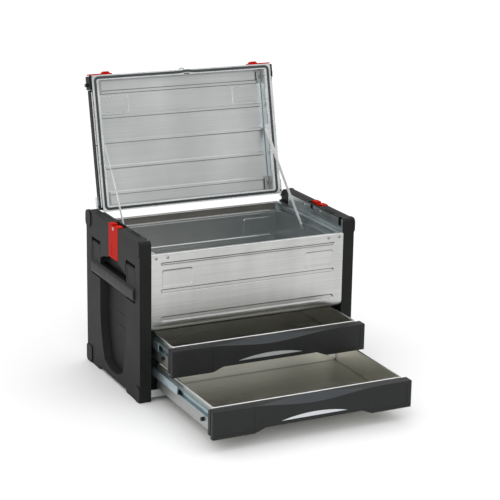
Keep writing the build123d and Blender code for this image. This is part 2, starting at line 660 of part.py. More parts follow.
def handle_frame():
    """Two steel legs on pins, joined by the core of the grip bar."""
    frame = rod_y((HANDLE_LEG_Y[0][0], HANDLE_LEG_Y[1][1]), HANDLE_X, HANDLE_BAR_Z, HANDLE_CORE_R)
    neck_x = (HANDLE_X - HANDLE_NECK_HALF, HANDLE_X + HANDLE_NECK_HALF)
    leg_x = (HANDLE_X - HANDLE_LEG_R, HANDLE_X + HANDLE_LEG_R)
    leg_low = HANDLE_BAR_Z + HANDLE_NECK_H
    for y in HANDLE_LEG_Y:
        eye = rod_y(y, HANDLE_X, HANDLE_PIVOT_Z, HANDLE_LEG_R)
        leg = block(leg_x, y, (leg_low, HANDLE_PIVOT_Z))
        neck = block(neck_x, y, (HANDLE_BAR_Z, leg_low + OVERCUT))
        through = (y[0] - OVERCUT, y[1] + OVERCUT)
        pin = rod_y(through, HANDLE_X, HANDLE_PIVOT_Z, HANDLE_PIN_R + RUNNING)
        frame = frame + (eye + leg + neck - pin)
    return frame


def handle_grip():
    """Soft rounded grip moulded around the bar."""
    x = (HANDLE_X - HANDLE_BAR_HALF_T, HANDLE_X + HANDLE_BAR_HALF_T)
    y = (HANDLE_LEG_Y[0][0] - GRIP_OVERHANG, HANDLE_LEG_Y[1][1] + GRIP_OVERHANG)
    z = (HANDLE_BAR_Z - HANDLE_BAR_HALF_H, HANDLE_BAR_Z + HANDLE_BAR_HALF_H)
    grip = block(x, y, z)
    grip = fillet(grip.edges().filter_by(Axis.Y), GRIP_EDGE_R)
    ends = grip.faces().filter_by(Axis.Y).edges()
    return fillet(ends, GRIP_END_R) - handle_frame()


def handle_pins():
    """Steel pins that the handles swing on."""
    pins = [rod_y(y, HANDLE_X, HANDLE_PIVOT_Z, HANDLE_PIN_R) for y in handle_pin_spans()]
    return both_sides(Compound(pins))


# ---------------------------------------------------------------- stacking latches

def latch_plate():
    """Red latch: flat outer plate, and a lip on top that hooks the case above."""
    x = (OUTER_X + LATCH_PROUD - LATCH_T, OUTER_X + LATCH_PROUD)
    top = LATCH_Z[1]
    latch = block(x, LATCH_Y, LATCH_Z)
    latch = latch + block((LATCH_LIP_X, x[1]), LATCH_Y, (top - LATCH_LIP_T, top))
    latch = latch + rod_y(LATCH_Y, LATCH_PIVOT_X, LATCH_PIVOT_Z, LATCH_PIN_R + LATCH_WALL)
    web_z = (LATCH_PIVOT_Z - LATCH_WALL, LATCH_PIVOT_Z + LATCH_WALL)
    latch = latch + block((LATCH_PIVOT_X, x[1]), LATCH_Y, web_z)
    post_x = (LATCH_PIVOT_X - LATCH_WALL, LATCH_PIVOT_X + LATCH_WALL)
    latch = latch + block(post_x, LATCH_Y, (LATCH_PIVOT_Z, top - LATCH_NOTCH_DEPTH))
    middle = sum(LATCH_Y) / 2
    notch_y = (middle - LATCH_NOTCH_HALF, middle + LATCH_NOTCH_HALF)
    notch_z = (top - LATCH_NOTCH_DEPTH, top + OVERCUT)
    latch = latch - block((LATCH_LIP_X - OVERCUT, x[1] + OVERCUT), notch_y, notch_z)
    pin_y = (LATCH_Y[0] - OVERCUT, LATCH_Y[1] + OVERCUT)
    latch = latch - rod_y(pin_y, LATCH_PIVOT_X, LATCH_PIVOT_Z, LATCH_PIN_R + RUNNING)
    return latch - latch_rivet_shank()


def latch_rivet_shank():
    """Shank of the latch rivet, as deep as the latch plate."""
    face = OUTER_X + LATCH_PROUD
    return rod_x((face - LATCH_RIVET_L, face), sum(LATCH_Y) / 2, LATCH_RIVET_Z, LATCH_RIVET_R[1])


def latch_rivet():
    """Tubular steel rivet in the latch's face."""
    face = OUTER_X + LATCH_PROUD
    middle = sum(LATCH_Y) / 2
    ring = rod_x((face, face + LATCH_RIVET_H), middle, LATCH_RIVET_Z, LATCH_RIVET_R[2])
    bore_x = (face - LATCH_RIVET_L + OVERCUT, face + LATCH_RIVET_H + OVERCUT)
    bore = rod_x(bore_x, middle, LATCH_RIVET_Z, LATCH_RIVET_R[0])
    return ring + latch_rivet_shank() - bore


def latch_pins():
    """Steel pins that the stacking latches turn on."""
    return both_sides(rod_y(latch_pin_span(), LATCH_PIVOT_X, LATCH_PIVOT_Z, LATCH_PIN_R))


# ---------------------------------------------------------------- drawers

def drawer_front(z0):
    """Moulded front: raised lower edge, scooped upper edge, seat for the insert."""
    top = z0 + FRONT_H
    half = FRONT_HALF_X
    outline = Polyline(
        (-half, z0), (-CUT_HALF_X[0], z0), (-CUT_HALF_X[1], z0 + CUT_H),
        (CUT_HALF_X[1], z0 + CUT_H), (CUT_HALF_X[0], z0), (half, z0),
        (half, top), (-half, top), close=True,
    )
    plane = Plane((0, FRONT_T, 0), x_dir=(1, 0, 0), z_dir=(0, -1, 0))
    front = extrude(plane * make_face(outline), amount=FRONT_T)
    front_edges = front.faces().sort_by(Axis.Y)[0].edges().sort_by(Axis.Z)[:-1]
    front = fillet(front_edges, FRONT_EDGE_R)
    front = front - smile_cutter(top)
    for side in (-1, 1):
        x = sorted((side * PAD_X[0], side * PAD_X[1]))
        front = front - block(x, (-OVERCUT, PAD_DEPTH), (z0 + PAD_IN, top - PAD_IN))
    front = front - crescent(z0)
    hollow_x = (-half + FRONT_WALL, half - FRONT_WALL)
    hollow_z = (z0 + FRONT_HOLLOW_Z[0], z0 + FRONT_HOLLOW_Z[1])
    return front - block(hollow_x, (FRONT_SKIN, FRONT_T + OVERCUT), hollow_z)


def smile_cutter(top):
    """Large tilted cylinder that scoops the middle of the front's upper edge."""
    tilt = math.atan2(SMILE_DROP, FRONT_T)
    radius = SMILE_HALF**2 / (2 * SMILE_DROP * math.cos(tilt))
    centre = (0, 0, top - SMILE_DROP + radius / math.cos(tilt))
    length = 4 * FRONT_T
    return Plane(centre, z_dir=(0, math.cos(tilt), math.sin(tilt))) * Cylinder(radius, length)


def crescent(z0):
    """Segment-shaped plate set into the drawer front's face."""
    low = z0 + CRESCENT_LOW
    edges = [
        Line((-CRESCENT_HALF, low), (CRESCENT_HALF, low)),
        ThreePointArc((CRESCENT_HALF, low), (0, low + CRESCENT_H), (-CRESCENT_HALF, low)),
    ]
    plane = Plane((0, 0, 0), x_dir=(1, 0, 0), z_dir=(0, -1, 0))
    return extrude(plane * make_face(edges), amount=-CRESCENT_T)


def tray(z0):
    """Open sheet tray with hemmed upper edges."""
    z = (z0 + TRAY_LIFT, z0 + FRONT_H - TRAY_TOP_GAP)
    y = (FRONT_T, TRAY_BACK_Y)
    outer = block((-TRAY_HALF_X, TRAY_HALF_X), y, z)
    inner_x = TRAY_HALF_X - TRAY_T
    space_z = (z[0] + TRAY_T, z[1] + OVERCUT)
    body = outer - block((-inner_x, inner_x), (y[0] + TRAY_T, y[1] - TRAY_T), space_z)
    hem_z = (z[1] - HEM_H, z[1])
    hem_x = TRAY_HALF_X - HEM_W
    hem_y = (y[0] + TRAY_T, y[1] - HEM_W)
    hem = block((-inner_x, inner_x), (hem_y[0], y[1] - TRAY_T), hem_z)
    return body + (hem - block((-hem_x, hem_x), (hem_y[0], hem_y[1]), hem_z))


def channel(x_web, x_tip, half_height, thickness, z_mid, y):
    """C-shaped rail: upright web at x_web with flanges towards x_tip."""
    low, high = sorted((x_web, x_tip))
    rail = block((low, high), y, (z_mid - half_height, z_mid + half_height))
    inner = half_height - thickness
    toward = thickness if x_tip > x_web else -thickness
    hollow_x = sorted((x_web + toward, x_tip + toward))
    hollow_y = (y[0] - OVERCUT, y[1] + OVERCUT)
    return rail - block(hollow_x, hollow_y, (z_mid - inner, z_mid + inner))


def runner_pair(section, z0):
    """Left and right rail of one slide member, with the given section."""
    z_mid = z0 + FRONT_H - RUNNER_DROP
    return both_sides(channel(*section, z_mid, RUNNER_Y))


def tray_rivets(z0):
    """Small rivet heads that join the tray's front wall to the drawer front."""
    y = (FRONT_T + TRAY_T, FRONT_T + TRAY_T + TRAY_RIVET_H)
    x = TRAY_HALF_X - TRAY_RIVET_IN
    return both_sides(Compound([rod_y(y, x, z0 + z, TRAY_RIVET_R) for z in TRAY_RIVET_Z]))


def release_levers(z0):
    """Round catch knobs low on the tray's sides, behind the front."""
    knob = rod_x((TRAY_HALF_X, TRAY_HALF_X + LEVER_L), LEVER_Y, z0 + LEVER_UP, LEVER_R)
    return both_sides(knob)


def drawer_parts(name, z0, out):
    """All pieces that travel with one drawer, at the pulled-out position."""
    shift = Pos(0, -out, 0)
    half_shift = Pos(0, -out / 2, 0)
    return {
        f"{name}_drawer_front": shift * drawer_front(z0),
        f"{name}_front_insert": shift * crescent(z0),
        f"{name}_tray": shift * tray(z0),
        f"{name}_inner_runners": shift * runner_pair(INNER_RUNNER, z0),
        f"{name}_tray_rivets": shift * tray_rivets(z0),
        f"{name}_release_levers": shift * release_levers(z0),
        f"{name}_mid_runners": half_shift * runner_pair(MID_RUNNER, z0),
        f"{name}_fixed_runners": runner_pair(FIXED_RUNNER, z0),
    }


def sided(name, solid):
    """Right- and left-hand nodes of one piece."""
    return {f"{name}_right": solid, f"{name}_left": mirrored(solid)}


def lid_parts():
    """Pieces of the lid, turned up to the open pose."""
    closed = {
        "lid_pan": lid_pan(),
        "lid_seal": lid_seal(),
        "lid_pull_tab": pull_tab(),
        "lid_brackets": lid_brackets(),
        "strap_plates": strap_plates(),
        **sided("lid_rail", lid_rail()),
        **sided("lid_corner", lid_corner()),
        **sided("hinge_arm", hinge_arm()),
        **sided("lid_slider", lid_slider()),
        **sided("lid_bolt", lid_bolt()),
    }
    return {name: opened(solid) for name, solid in closed.items()}


def case_parts():
    """Every node of the case in its open pose."""
    return {
        **sided("side_panel", side_panel()),
        **sided("side_sheet", side_sheet()),
        **sided("tub_side", tub_side()),
        "front_panel": front_panel(),
        "back_panel": back_panel(),
        "tub_floor": tub_floor(),
        "base_pan": base_pan(),
        "front_screws": front_screws(),
        "sheet_rivets": sheet_rivets(),
        "strap_anchors": strap_anchors(),
        "hinge_pins": hinge_pins(),
        "handle_pins": handle_pins(),
        "latch_pins": latch_pins(),
        **lid_parts(),
        **sided("lid_strap", strap()),
        **sided("handle_frame", handle_frame()),
        **sided("handle_grip", handle_grip()),
        **sided("latch_plate", latch_plate()),
        **sided("latch_rivet", latch_rivet()),
        **drawer_parts("upper", UPPER_Z, UPPER_OUT),
        **drawer_parts("lower", LOWER_Z, LOWER_OUT),
    }


def main():
    """Builds every node, centres the case front to back and writes one file per node."""
    parts = case_parts()
    boxes = [solid.bounding_box() for solid in parts.values()]
    front = min(box.min.Y for box in boxes)
    back = max(box.max.Y for box in boxes)
    centre_y = (front + back) / 2
    print("centred by", round(centre_y, 4))
    os.makedirs("parts", exist_ok=True)
    for name, solid in parts.items():
        export_step(Pos(0, -centre_y, 0) * solid, f"parts/{name}.step")


main()
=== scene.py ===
import json
import math

import bmesh
import bpy
from mathutils import Matrix, Vector


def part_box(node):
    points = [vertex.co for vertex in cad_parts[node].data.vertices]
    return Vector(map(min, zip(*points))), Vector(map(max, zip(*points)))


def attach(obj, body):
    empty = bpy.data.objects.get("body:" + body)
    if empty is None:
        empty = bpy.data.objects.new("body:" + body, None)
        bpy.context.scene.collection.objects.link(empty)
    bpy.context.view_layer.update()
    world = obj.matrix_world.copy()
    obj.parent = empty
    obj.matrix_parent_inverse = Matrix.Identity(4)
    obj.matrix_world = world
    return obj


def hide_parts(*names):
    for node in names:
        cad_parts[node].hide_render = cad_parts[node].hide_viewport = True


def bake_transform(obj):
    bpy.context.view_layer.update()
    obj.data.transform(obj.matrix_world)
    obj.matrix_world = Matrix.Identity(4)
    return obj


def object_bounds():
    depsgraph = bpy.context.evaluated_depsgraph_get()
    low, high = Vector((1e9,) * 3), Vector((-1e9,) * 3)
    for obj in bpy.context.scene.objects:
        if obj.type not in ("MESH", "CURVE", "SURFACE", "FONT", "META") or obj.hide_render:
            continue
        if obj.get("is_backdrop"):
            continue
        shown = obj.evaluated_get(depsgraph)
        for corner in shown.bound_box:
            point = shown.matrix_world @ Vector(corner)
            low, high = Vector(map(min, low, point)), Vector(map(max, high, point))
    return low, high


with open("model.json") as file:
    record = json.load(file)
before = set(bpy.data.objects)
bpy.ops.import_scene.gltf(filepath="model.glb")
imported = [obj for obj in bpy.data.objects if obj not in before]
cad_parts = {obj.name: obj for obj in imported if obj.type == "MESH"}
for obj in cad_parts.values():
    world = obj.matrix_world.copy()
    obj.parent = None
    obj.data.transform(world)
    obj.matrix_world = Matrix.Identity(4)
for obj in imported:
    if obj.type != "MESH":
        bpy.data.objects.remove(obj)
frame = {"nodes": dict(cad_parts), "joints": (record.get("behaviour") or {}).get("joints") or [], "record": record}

# Looks of the metal tool case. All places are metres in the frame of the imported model, and most
# are written in millimetres from the front of the side panels with at().

CAD_LOW, CAD_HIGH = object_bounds()
MM = 0.001
FRONT_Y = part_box("side_panel_right")[0].y
SHARP = math.radians(32)


def at(x, y, z):
    """Point given in millimetres: from the middle, from the panels' front, from the floor."""
    return Vector((x * MM, FRONT_Y + y * MM, z * MM))


# ------------------------------------------------------------------ materials

def node(tree, kind, **values):
    """New shader node with its properties, and its sockets by name."""
    made = tree.nodes.new(kind)
    for key, value in values.items():
        if hasattr(made, key):
            setattr(made, key, value)
        else:
            made.inputs[key.replace("_", " ")].default_value = value
    return made


def noise_of(tree, stretch, detail=4.0, rough=0.6):
    """Noise in object space, stretched: the numbers are waves per metre along x, y and z."""
    place = node(tree, "ShaderNodeTexCoord")
    scale = node(tree, "ShaderNodeMapping")
    scale.inputs["Scale"].default_value = stretch
    tree.links.new(place.outputs["Object"], scale.inputs["Vector"])
    noise = node(tree, "ShaderNodeTexNoise", Detail=detail, Roughness=rough, Scale=1.0)
    tree.links.new(scale.outputs["Vector"], noise.inputs["Vector"])
    return noise.outputs["Fac"]


def spread(tree, value, low, high, at_low=0.3, at_high=0.7):
    """Value between two noise levels, mapped to a range of numbers."""
    ranged = node(tree, "ShaderNodeMapRange")
    tree.links.new(value, ranged.inputs["Value"])
    ranged.inputs["From Min"].default_value = at_low
    ranged.inputs["From Max"].default_value = at_high
    ranged.inputs["To Min"].default_value = low
    ranged.inputs["To Max"].default_value = high
    return ranged.outputs["Result"]


def colours(tree, factor, first, second):
    """Mix of two colours by a factor."""
    mix = node(tree, "ShaderNodeMix", data_type="RGBA")
    tree.links.new(factor, mix.inputs[0])
    for index, colour in ((6, first), (7, second)):
        if isinstance(colour, tuple):
            mix.inputs[index].default_value = (*colour, 1.0)
        else:
            tree.links.new(colour, mix.inputs[index])
    return mix.outputs[2]


# Reach of the painted shade in crevices.
CREVICE_SHADE_REACH = 0.007
# Width of the lightened edges: partly wear, partly painted highlight.
WEAR_AND_HIGHLIGHT_WIDTH = 0.0007
# Heights of the normal over which downward-facing faces get painted shade.
UNDERSIDE_SHADE_SPAN = (-0.45, -0.08)


def finish_of(name, dark, light, rough, grain, blotch, metallic=0.0, bump=0.1, fine=None,
              wear_and_highlight=None, coat=0.0, sheen=0.0, specular=0.5, anisotropy=0.0, underside_shade=1.0):
    """Procedural finish: grain and blotches vary its colour, roughness and height; its convex edges can be
    lightened, partly as wear and partly as painted highlight, its downward faces can get painted shade, and its
    crevices always get painted shade."""
    made = bpy.data.materials.new(name)
    made.use_nodes = True
    tree = made.node_tree
    shader = tree.nodes["Principled BSDF"]
    shader.inputs["Metallic"].default_value = metallic
    shader.inputs["Specular IOR Level"].default_value = specular
    shader.inputs["Coat Weight"].default_value = coat
    shader.inputs["Sheen Weight"].default_value = sheen
    shader.inputs["Anisotropic"].default_value = anisotropy
    lines = noise_of(tree, grain)
    clouds = noise_of(tree, blotch, detail=3.0, rough=0.5)
    both = node(tree, "ShaderNodeMath", operation="MULTIPLY_ADD")
    tree.links.new(lines, both.inputs[0])
    both.inputs[1].default_value = 0.5
    halved = node(tree, "ShaderNodeMath", operation="MULTIPLY")
    tree.links.new(clouds, halved.inputs[0])
    halved.inputs[1].default_value = 0.5
    tree.links.new(halved.outputs[0], both.inputs[2])
    colour = colours(tree, spread(tree, both.outputs[0], 0.0, 1.0, 0.35, 0.65), dark, light)
    # Edges lightened: partly wear, partly a painted highlight along rims, beads and corners.
    if wear_and_highlight:
        rounder = node(tree, "ShaderNodeBevel", samples=4)
        rounder.inputs["Radius"].default_value = WEAR_AND_HIGHLIGHT_WIDTH
        edge = node(tree, "ShaderNodeVectorMath", operation="DOT_PRODUCT")
        tree.links.new(rounder.outputs["Normal"], edge.inputs[0])
        tree.links.new(node(tree, "ShaderNodeNewGeometry").outputs["Normal"], edge.inputs[1])
        colour = colours(tree, spread(tree, edge.outputs["Value"], 0.5, 0.0, 0.93, 0.995), colour, wear_and_highlight)
    # Painted shade: faces that point downwards are darkened, fully where the normal points well down.
    if underside_shade < 1.0:
        facing = node(tree, "ShaderNodeSeparateXYZ")
        tree.links.new(node(tree, "ShaderNodeTexCoord").outputs["Normal"], facing.inputs[0])
        lower = node(tree, "ShaderNodeMix", data_type="RGBA", blend_type="MULTIPLY")
        lower.inputs[0].default_value = 1.0
        tree.links.new(colour, lower.inputs[6])
        tree.links.new(spread(tree, facing.outputs["Z"], underside_shade, 1.0, *UNDERSIDE_SHADE_SPAN), lower.inputs[7])
        colour = lower.outputs[2]
    # Painted shade: crevices, creases and recesses are darkened by ambient occlusion within a short reach.
    occlusion_shade = node(tree, "ShaderNodeAmbientOcclusion", samples=6, only_local=True)
    occlusion_shade.inputs["Distance"].default_value = CREVICE_SHADE_REACH
    shade = spread(tree, occlusion_shade.outputs["AO"], 0.25, 1.0, 0.25, 0.8)
    crevice_shade = node(tree, "ShaderNodeMix", data_type="RGBA", blend_type="MULTIPLY")
    crevice_shade.inputs[0].default_value = 1.0
    tree.links.new(colour, crevice_shade.inputs[6])
    tree.links.new(shade, crevice_shade.inputs[7])
    tree.links.new(crevice_shade.outputs[2], shader.inputs["Base Color"])
    tree.links.new(spread(tree, both.outputs[0], *rough), shader.inputs["Roughness"])
    relief = lines if fine is None else noise_of(tree, fine, detail=2.0)
    height = node(tree, "ShaderNodeBump", Strength=bump, Distance=0.0004)
    tree.links.new(relief, height.inputs["Height"])
    tree.links.new(height.outputs["Normal"], shader.inputs["Normal"])
    return made


FINISHES = {
    "black_plastic": finish_of(
        "moulded_plastic", (0.0085, 0.0097, 0.0085), (0.0155, 0.0173, 0.0155), (0.42, 0.56),
        (900, 900, 900), (12, 12, 12), bump=0.25, fine=(1600, 1600, 1600),
        wear_and_highlight=(0.040, 0.043, 0.041), specular=0.12),
    "drawer_plastic": finish_of(
        "drawer_plastic", (0.0085, 0.0097, 0.0090), (0.0155, 0.0173, 0.0165), (0.42, 0.56),
        (900, 900, 900), (12, 12, 12), bump=0.25, fine=(1600, 1600, 1600),
        wear_and_highlight=(0.040, 0.043, 0.041), specular=0.28),
    "grip_rubber": finish_of(
        "grip_plastic", (0.006, 0.0068, 0.006), (0.012, 0.0135, 0.012), (0.36, 0.48),
        (700, 700, 700), (25, 25, 25), bump=0.3, fine=(1300, 1300, 1300),
        wear_and_highlight=(0.05, 0.053, 0.05), specular=0.2),
    "red_plastic": finish_of(
        "red_plastic", (0.42, 0.007, 0.001), (0.52, 0.011, 0.002), (0.46, 0.58),
        (800, 800, 800), (30, 30, 30), bump=0.12, wear_and_highlight=(0.70, 0.03, 0.01), specular=0.05),
    "seal_rubber": finish_of(
        "seal_rubber", (0.022, 0.029, 0.029), (0.038, 0.047, 0.047), (0.42, 0.6),
        (500, 500, 500), (20, 20, 20), bump=0.2),
    "strap_webbing": finish_of(
        "woven_strap", (0.55, 0.56, 0.56), (0.80, 0.81, 0.80), (0.5, 0.7),
        (250, 900, 1400), (40, 40, 40), bump=0.6, sheen=0.3),
    "silver_insert": finish_of(
        "silver_paint", (0.55, 0.57, 0.60), (0.68, 0.70, 0.73), (0.28, 0.36),
        (1800, 1800, 1800), (20, 20, 20), metallic=0.7, bump=0.05),
    "zinc_runner": finish_of(
        "blue_zinc", (0.36, 0.46, 0.50), (0.56, 0.66, 0.70), (0.22, 0.36),
        (400, 14, 700), (15, 9, 30), metallic=1.0, bump=0.05, wear_and_highlight=(0.85, 0.9, 0.92)),
    "bright_steel": finish_of(
        "bright_steel", (0.62, 0.62, 0.62), (0.80, 0.80, 0.80), (0.14, 0.26),
        (300, 300, 300), (40, 40, 40), metallic=1.0, bump=0.04),
    "tray_steel": finish_of(
        "rolled_tray_sheet", (0.58, 0.575, 0.53), (0.72, 0.715, 0.67), (0.24, 0.36),
        (3, 700, 700), (4, 9, 9), metallic=1.0, bump=0.06, wear_and_highlight=(0.85, 0.85, 0.83)),
    "zinc_fitting": finish_of(
        "zinc_fitting", (0.50, 0.56, 0.58), (0.72, 0.77, 0.78), (0.2, 0.38),
        (350, 350, 350), (60, 60, 60), metallic=1.0, bump=0.08, wear_and_highlight=(0.9, 0.92, 0.92)),
    "front_sheet": finish_of(
        "brushed_front_sheet", (0.41, 0.415, 0.40), (0.60, 0.605, 0.59), (0.25, 0.38),
        (4, 900, 900), (11, 3, 2), metallic=1.0, bump=0.05, anisotropy=0.3,
        wear_and_highlight=(0.92, 0.92, 0.91), underside_shade=0.4),
    # Much lighter copy of the galvanised sheet: painted highlight for the lid's flange, rail strips and field
    # beads.
    "highlight_zinc": finish_of(
        "highlight_zinc", (0.80, 0.83, 0.84), (0.93, 0.95, 0.95), (0.2, 0.36),
        (300, 8, 300), (20, 12, 20), metallic=1.0, bump=0.05, wear_and_highlight=(0.95, 0.96, 0.96)),
    "side_zinc": finish_of(
        "side_zinc", (0.36, 0.41, 0.42), (0.52, 0.57, 0.58), (0.24, 0.38),
        (300, 8, 300), (20, 12, 20), metallic=1.0, bump=0.05, wear_and_highlight=(0.85, 0.88, 0.88)),
    "skirt_steel": finish_of(
        "skirt_steel", (0.34, 0.35, 0.35), (0.50, 0.51, 0.50), (0.28, 0.42),
        (700, 3, 700), (9, 6, 9), metallic=1.0, bump=0.05, wear_and_highlight=(0.8, 0.8, 0.8)),
    "shaded_sheet": finish_of(
        "shaded_sheet", (0.20, 0.19, 0.17), (0.30, 0.285, 0.26), (0.35, 0.5),
        (4, 900, 900), (9, 3, 3), metallic=0.6, bump=0.05),
    # Lighter, bluish plastic for the upward faces of the drawer fronts' scoop: painted sheen.
    "smile_painted_sheen": finish_of(
        "smile_painted_sheen", (0.014, 0.018, 0.021), (0.022, 0.027, 0.031), (0.34, 0.46),
        (900, 900, 900), (12, 12, 12), bump=0.2, fine=(1600, 1600, 1600), specular=0.38),
    # Darker bluish copy of the galvanised sheet: painted shade for the compartment's inner walls and the lid's
    # side liners.
    "shaded_tub_sheet": finish_of(
        "shaded_tub_sheet", (0.37, 0.41, 0.42), (0.50, 0.55, 0.56), (0.25, 0.38),
        (4, 900, 900), (9, 3, 3), metallic=1.0, bump=0.05, wear_and_highlight=(0.85, 0.88, 0.88)),
    "galvanised_sheet": finish_of(
        "brushed_sheet", (0.60, 0.615, 0.615), (0.74, 0.753, 0.75), (0.27, 0.40),
        (4, 900, 900), (7, 3, 3), metallic=1.0, bump=0.05, anisotropy=0.3,
        wear_and_highlight=(0.92, 0.92, 0.91), underside_shade=0.6),
}


def painted(obj, slot):
    """Gives an object the finish of one material slot."""
    obj.data.materials.clear()
    obj.data.materials.append(FINISHES[slot])
    return obj


def eased(obj, width, segments=2):
    """Rounds an object's sharp edges without changing its mesh."""
    weld = obj.modifiers.new("weld", "WELD")
    weld.merge_threshold = 1e-6
    bevel = obj.modifiers.new("edges", "BEVEL")
    bevel.width = width * MM
    bevel.segments = segments
    bevel.limit_method = "ANGLE"
    bevel.angle_limit = SHARP
    flat = obj.modifiers.new("flat", "WEIGHTED_NORMAL")
    flat.keep_sharp = True
    return obj


EDGE_WIDTHS = {
    "side_panel": 1.2, "drawer_front": 0.8, "handle_frame": 1.0, "latch_plate": 0.8,
    "lid_slider": 0.6, "lid_corner": 0.8, "lid_rail": 0.6, "front_panel": 0.4, "lid_pan": 0.4,
    "side_sheet": 0.35, "tub_side": 0.35, "back_panel": 0.4, "base_pan": 0.4, "tray": 0.3,
    "runners": 0.25, "hinge_arm": 0.4, "lid_brackets": 0.3, "strap": 0.2, "handle_grip": 0.5,
}
SLOT_OF = {entry["node"]: entry["material_slot"] for entry in frame["record"]["subparts"]}
# The compartment's inner walls get the darker sheet: painted shade.
OWN_FINISH = {
    "front_panel": "front_sheet", "tub_side_right": "shaded_tub_sheet", "tub_side_left": "shaded_tub_sheet",
    "side_sheet_right": "side_zinc", "side_sheet_left": "side_zinc", "lid_brackets": "skirt_steel",
}
for name, shown in frame["nodes"].items():
    painted(shown, OWN_FINISH.get(name, SLOT_OF[name]))
    for word, width in EDGE_WIDTHS.items():
        if word in name:
            eased(shown, width)
            break


# ------------------------------------------------------------------ mesh tools

def arc(first, middle, last, steps):
    """Points on the circle through three 2-D points, the last one left out."""
    (ax, ay), (bx, by), (cx, cy) = first, middle, last
    d = 2 * (ax * (by - cy) + bx * (cy - ay) + cx * (ay - by))
    sa, sb, sc = ax * ax + ay * ay, bx * bx + by * by, cx * cx + cy * cy
    ox = (sa * (by - cy) + sb * (cy - ay) + sc * (ay - by)) / d
    oy = (sa * (cx - bx) + sb * (ax - cx) + sc * (bx - ax)) / d
    radius = math.hypot(ax - ox, ay - oy)
    start, mid, end = (math.atan2(y - oy, x - ox) for x, y in (first, middle, last))
    sweep = (end - start) % math.tau
    if (mid - start) % math.tau > sweep:
        sweep -= math.tau
    angles = [start + sweep * i / steps for i in range(steps)]
    return [(ox + radius * math.cos(a), oy + radius * math.sin(a)) for a in angles]


def rounded(corners, steps=5):
    """Outline through corners given as (u, v, radius), each rounded by its radius."""
    points = []
    for i, (u, v, radius) in enumerate(corners):
        here = Vector((u, v))
        before = Vector(corners[i - 1][:2]) - here
        after = Vector(corners[(i + 1) % len(corners)][:2]) - here
        if radius <= 0:
            points.append((u, v))
            continue
        half = before.angle(after) / 2
        reach = radius / math.tan(half)
        start, end = here + before.normalized() * reach, here + after.normalized() * reach
        centre = here + (before.normalized() + after.normalized()).normalized() * radius / math.sin(half)
        middle = centre + (here - centre).normalized() * radius
        points += arc(tuple(start), tuple(middle), tuple(end), steps) + [tuple(end)]
    return points


def rectangle(u, v, radius=0.0):
    """Rounded rectangle between two spans."""
    corners = ((u[0], v[0]), (u[1], v[0]), (u[1], v[1]), (u[0], v[1]))
    return rounded([(*corner, radius) for corner in corners])


PLACERS = {
    "x": lambda depth, u, v: at(depth, u, v),
    "y": lambda depth, u, v: at(u, depth, v),
    "z": lambda depth, u, v: at(u, v, depth),
}


def lofted(loops, closed=True):
    """bmesh through rings of points, with both ends closed by faces."""
    bm = bmesh.new()
    rings = [[bm.verts.new(point) for point in loop] for loop in loops]
    count = len(rings[0])
    pairs = list(zip(rings, rings[1:])) + ([(rings[-1], rings[0])] if not closed else [])
    for one, two in pairs:
        for i in range(count):
            bm.faces.new((one[i], one[(i + 1) % count], two[(i + 1) % count], two[i]))
    if closed:
        bm.faces.new(rings[0])
        bm.faces.new(rings[-1])
    bmesh.ops.recalc_face_normals(bm, faces=bm.faces)
    return bm


def slab(outline, span, axis="x", inset=0.0):
    """Solid between two depths along an axis; its far end can be drawn in by an inset."""
    place = PLACERS[axis]
    far = drawn_in(outline, inset) if inset else outline
    return lofted([[place(span[0], *p) for p in outline], [place(span[1], *p) for p in far]])


def drawn_in(outline, inset):
    """Outline moved inwards by a distance along its own normals."""
    area = sum(a[0] * b[1] - b[0] * a[1] for a, b in zip(outline, outline[1:] + outline[:1]))
    sign = 1 if area > 0 else -1
    moved = []
    for i, (u, v) in enumerate(outline):
        before, after = outline[i - 1], outline[(i + 1) % len(outline)]
        along = Vector((after[0] - before[0], after[1] - before[1])).normalized()
        moved.append((u - sign * along.y * inset, v + sign * along.x * inset))
    return moved


def box_of(x, y, z, radius=0.0):
    """Box between spans along x, y and z."""
    return slab(rectangle(y, z, radius), x, "x")


def rod(axis, span, centre, radius, steps=24):
    """Round bar along an axis."""
    turn = [math.tau * i / steps for i in range(steps)]
    ring = [(centre[0] + radius * math.cos(a), centre[1] + radius * math.sin(a)) for a in turn]
    return slab(ring, span, axis)


def joined(*parts):
    """One bmesh that holds several."""
    whole = parts[0]
    for part in parts[1:]:
        part.verts.index_update()
        found = {v.index: whole.verts.new(v.co) for v in part.verts}
        for face in part.faces:
            whole.faces.new([found[v.index] for v in face.verts])
        part.free()
    return whole


def mirrored(bm):
    """The same shape on the other side of the middle."""
    for v in bm.verts:
        v.co.x = -v.co.x
    bmesh.ops.reverse_faces(bm, faces=bm.faces)
    return bm


def loose(name, bm):
    """Object from a bmesh, which is freed."""
    mesh = bpy.data.meshes.new(name)
    bm.to_mesh(mesh)
    bm.free()
    obj = bpy.data.objects.new(name, mesh)
    bpy.context.scene.collection.objects.link(obj)
    return obj


def settle(obj):
    """Applies an object's modifiers to its mesh."""
    bpy.context.view_layer.update()
    graph = bpy.context.evaluated_depsgraph_get()
    mesh = bpy.data.meshes.new_from_object(obj.evaluated_get(graph))
    obj.modifiers.clear()
    obj.data = mesh
    return obj


def carved(obj, changes):
    """Cuts or adds shapes, given as (operation, bmesh), one after the other."""
    for operation, shape in changes:
        tool = loose("tool", shape)
        step = obj.modifiers.new("step", "BOOLEAN")
        step.operation, step.solver, step.object = operation, "EXACT", tool
        settle(obj)
        bpy.data.objects.remove(tool)
    return obj


def softened(obj, edge=0.0, segments=2):
    """Smooth shading with sharp corners, and rounded edges where a width is given."""
    obj.data.polygons.foreach_set("use_smooth", [True] * len(obj.data.polygons))
    obj.data.set_sharp_from_angle(angle=SHARP)
    if edge:
        eased(obj, edge, segments)
        settle(obj)


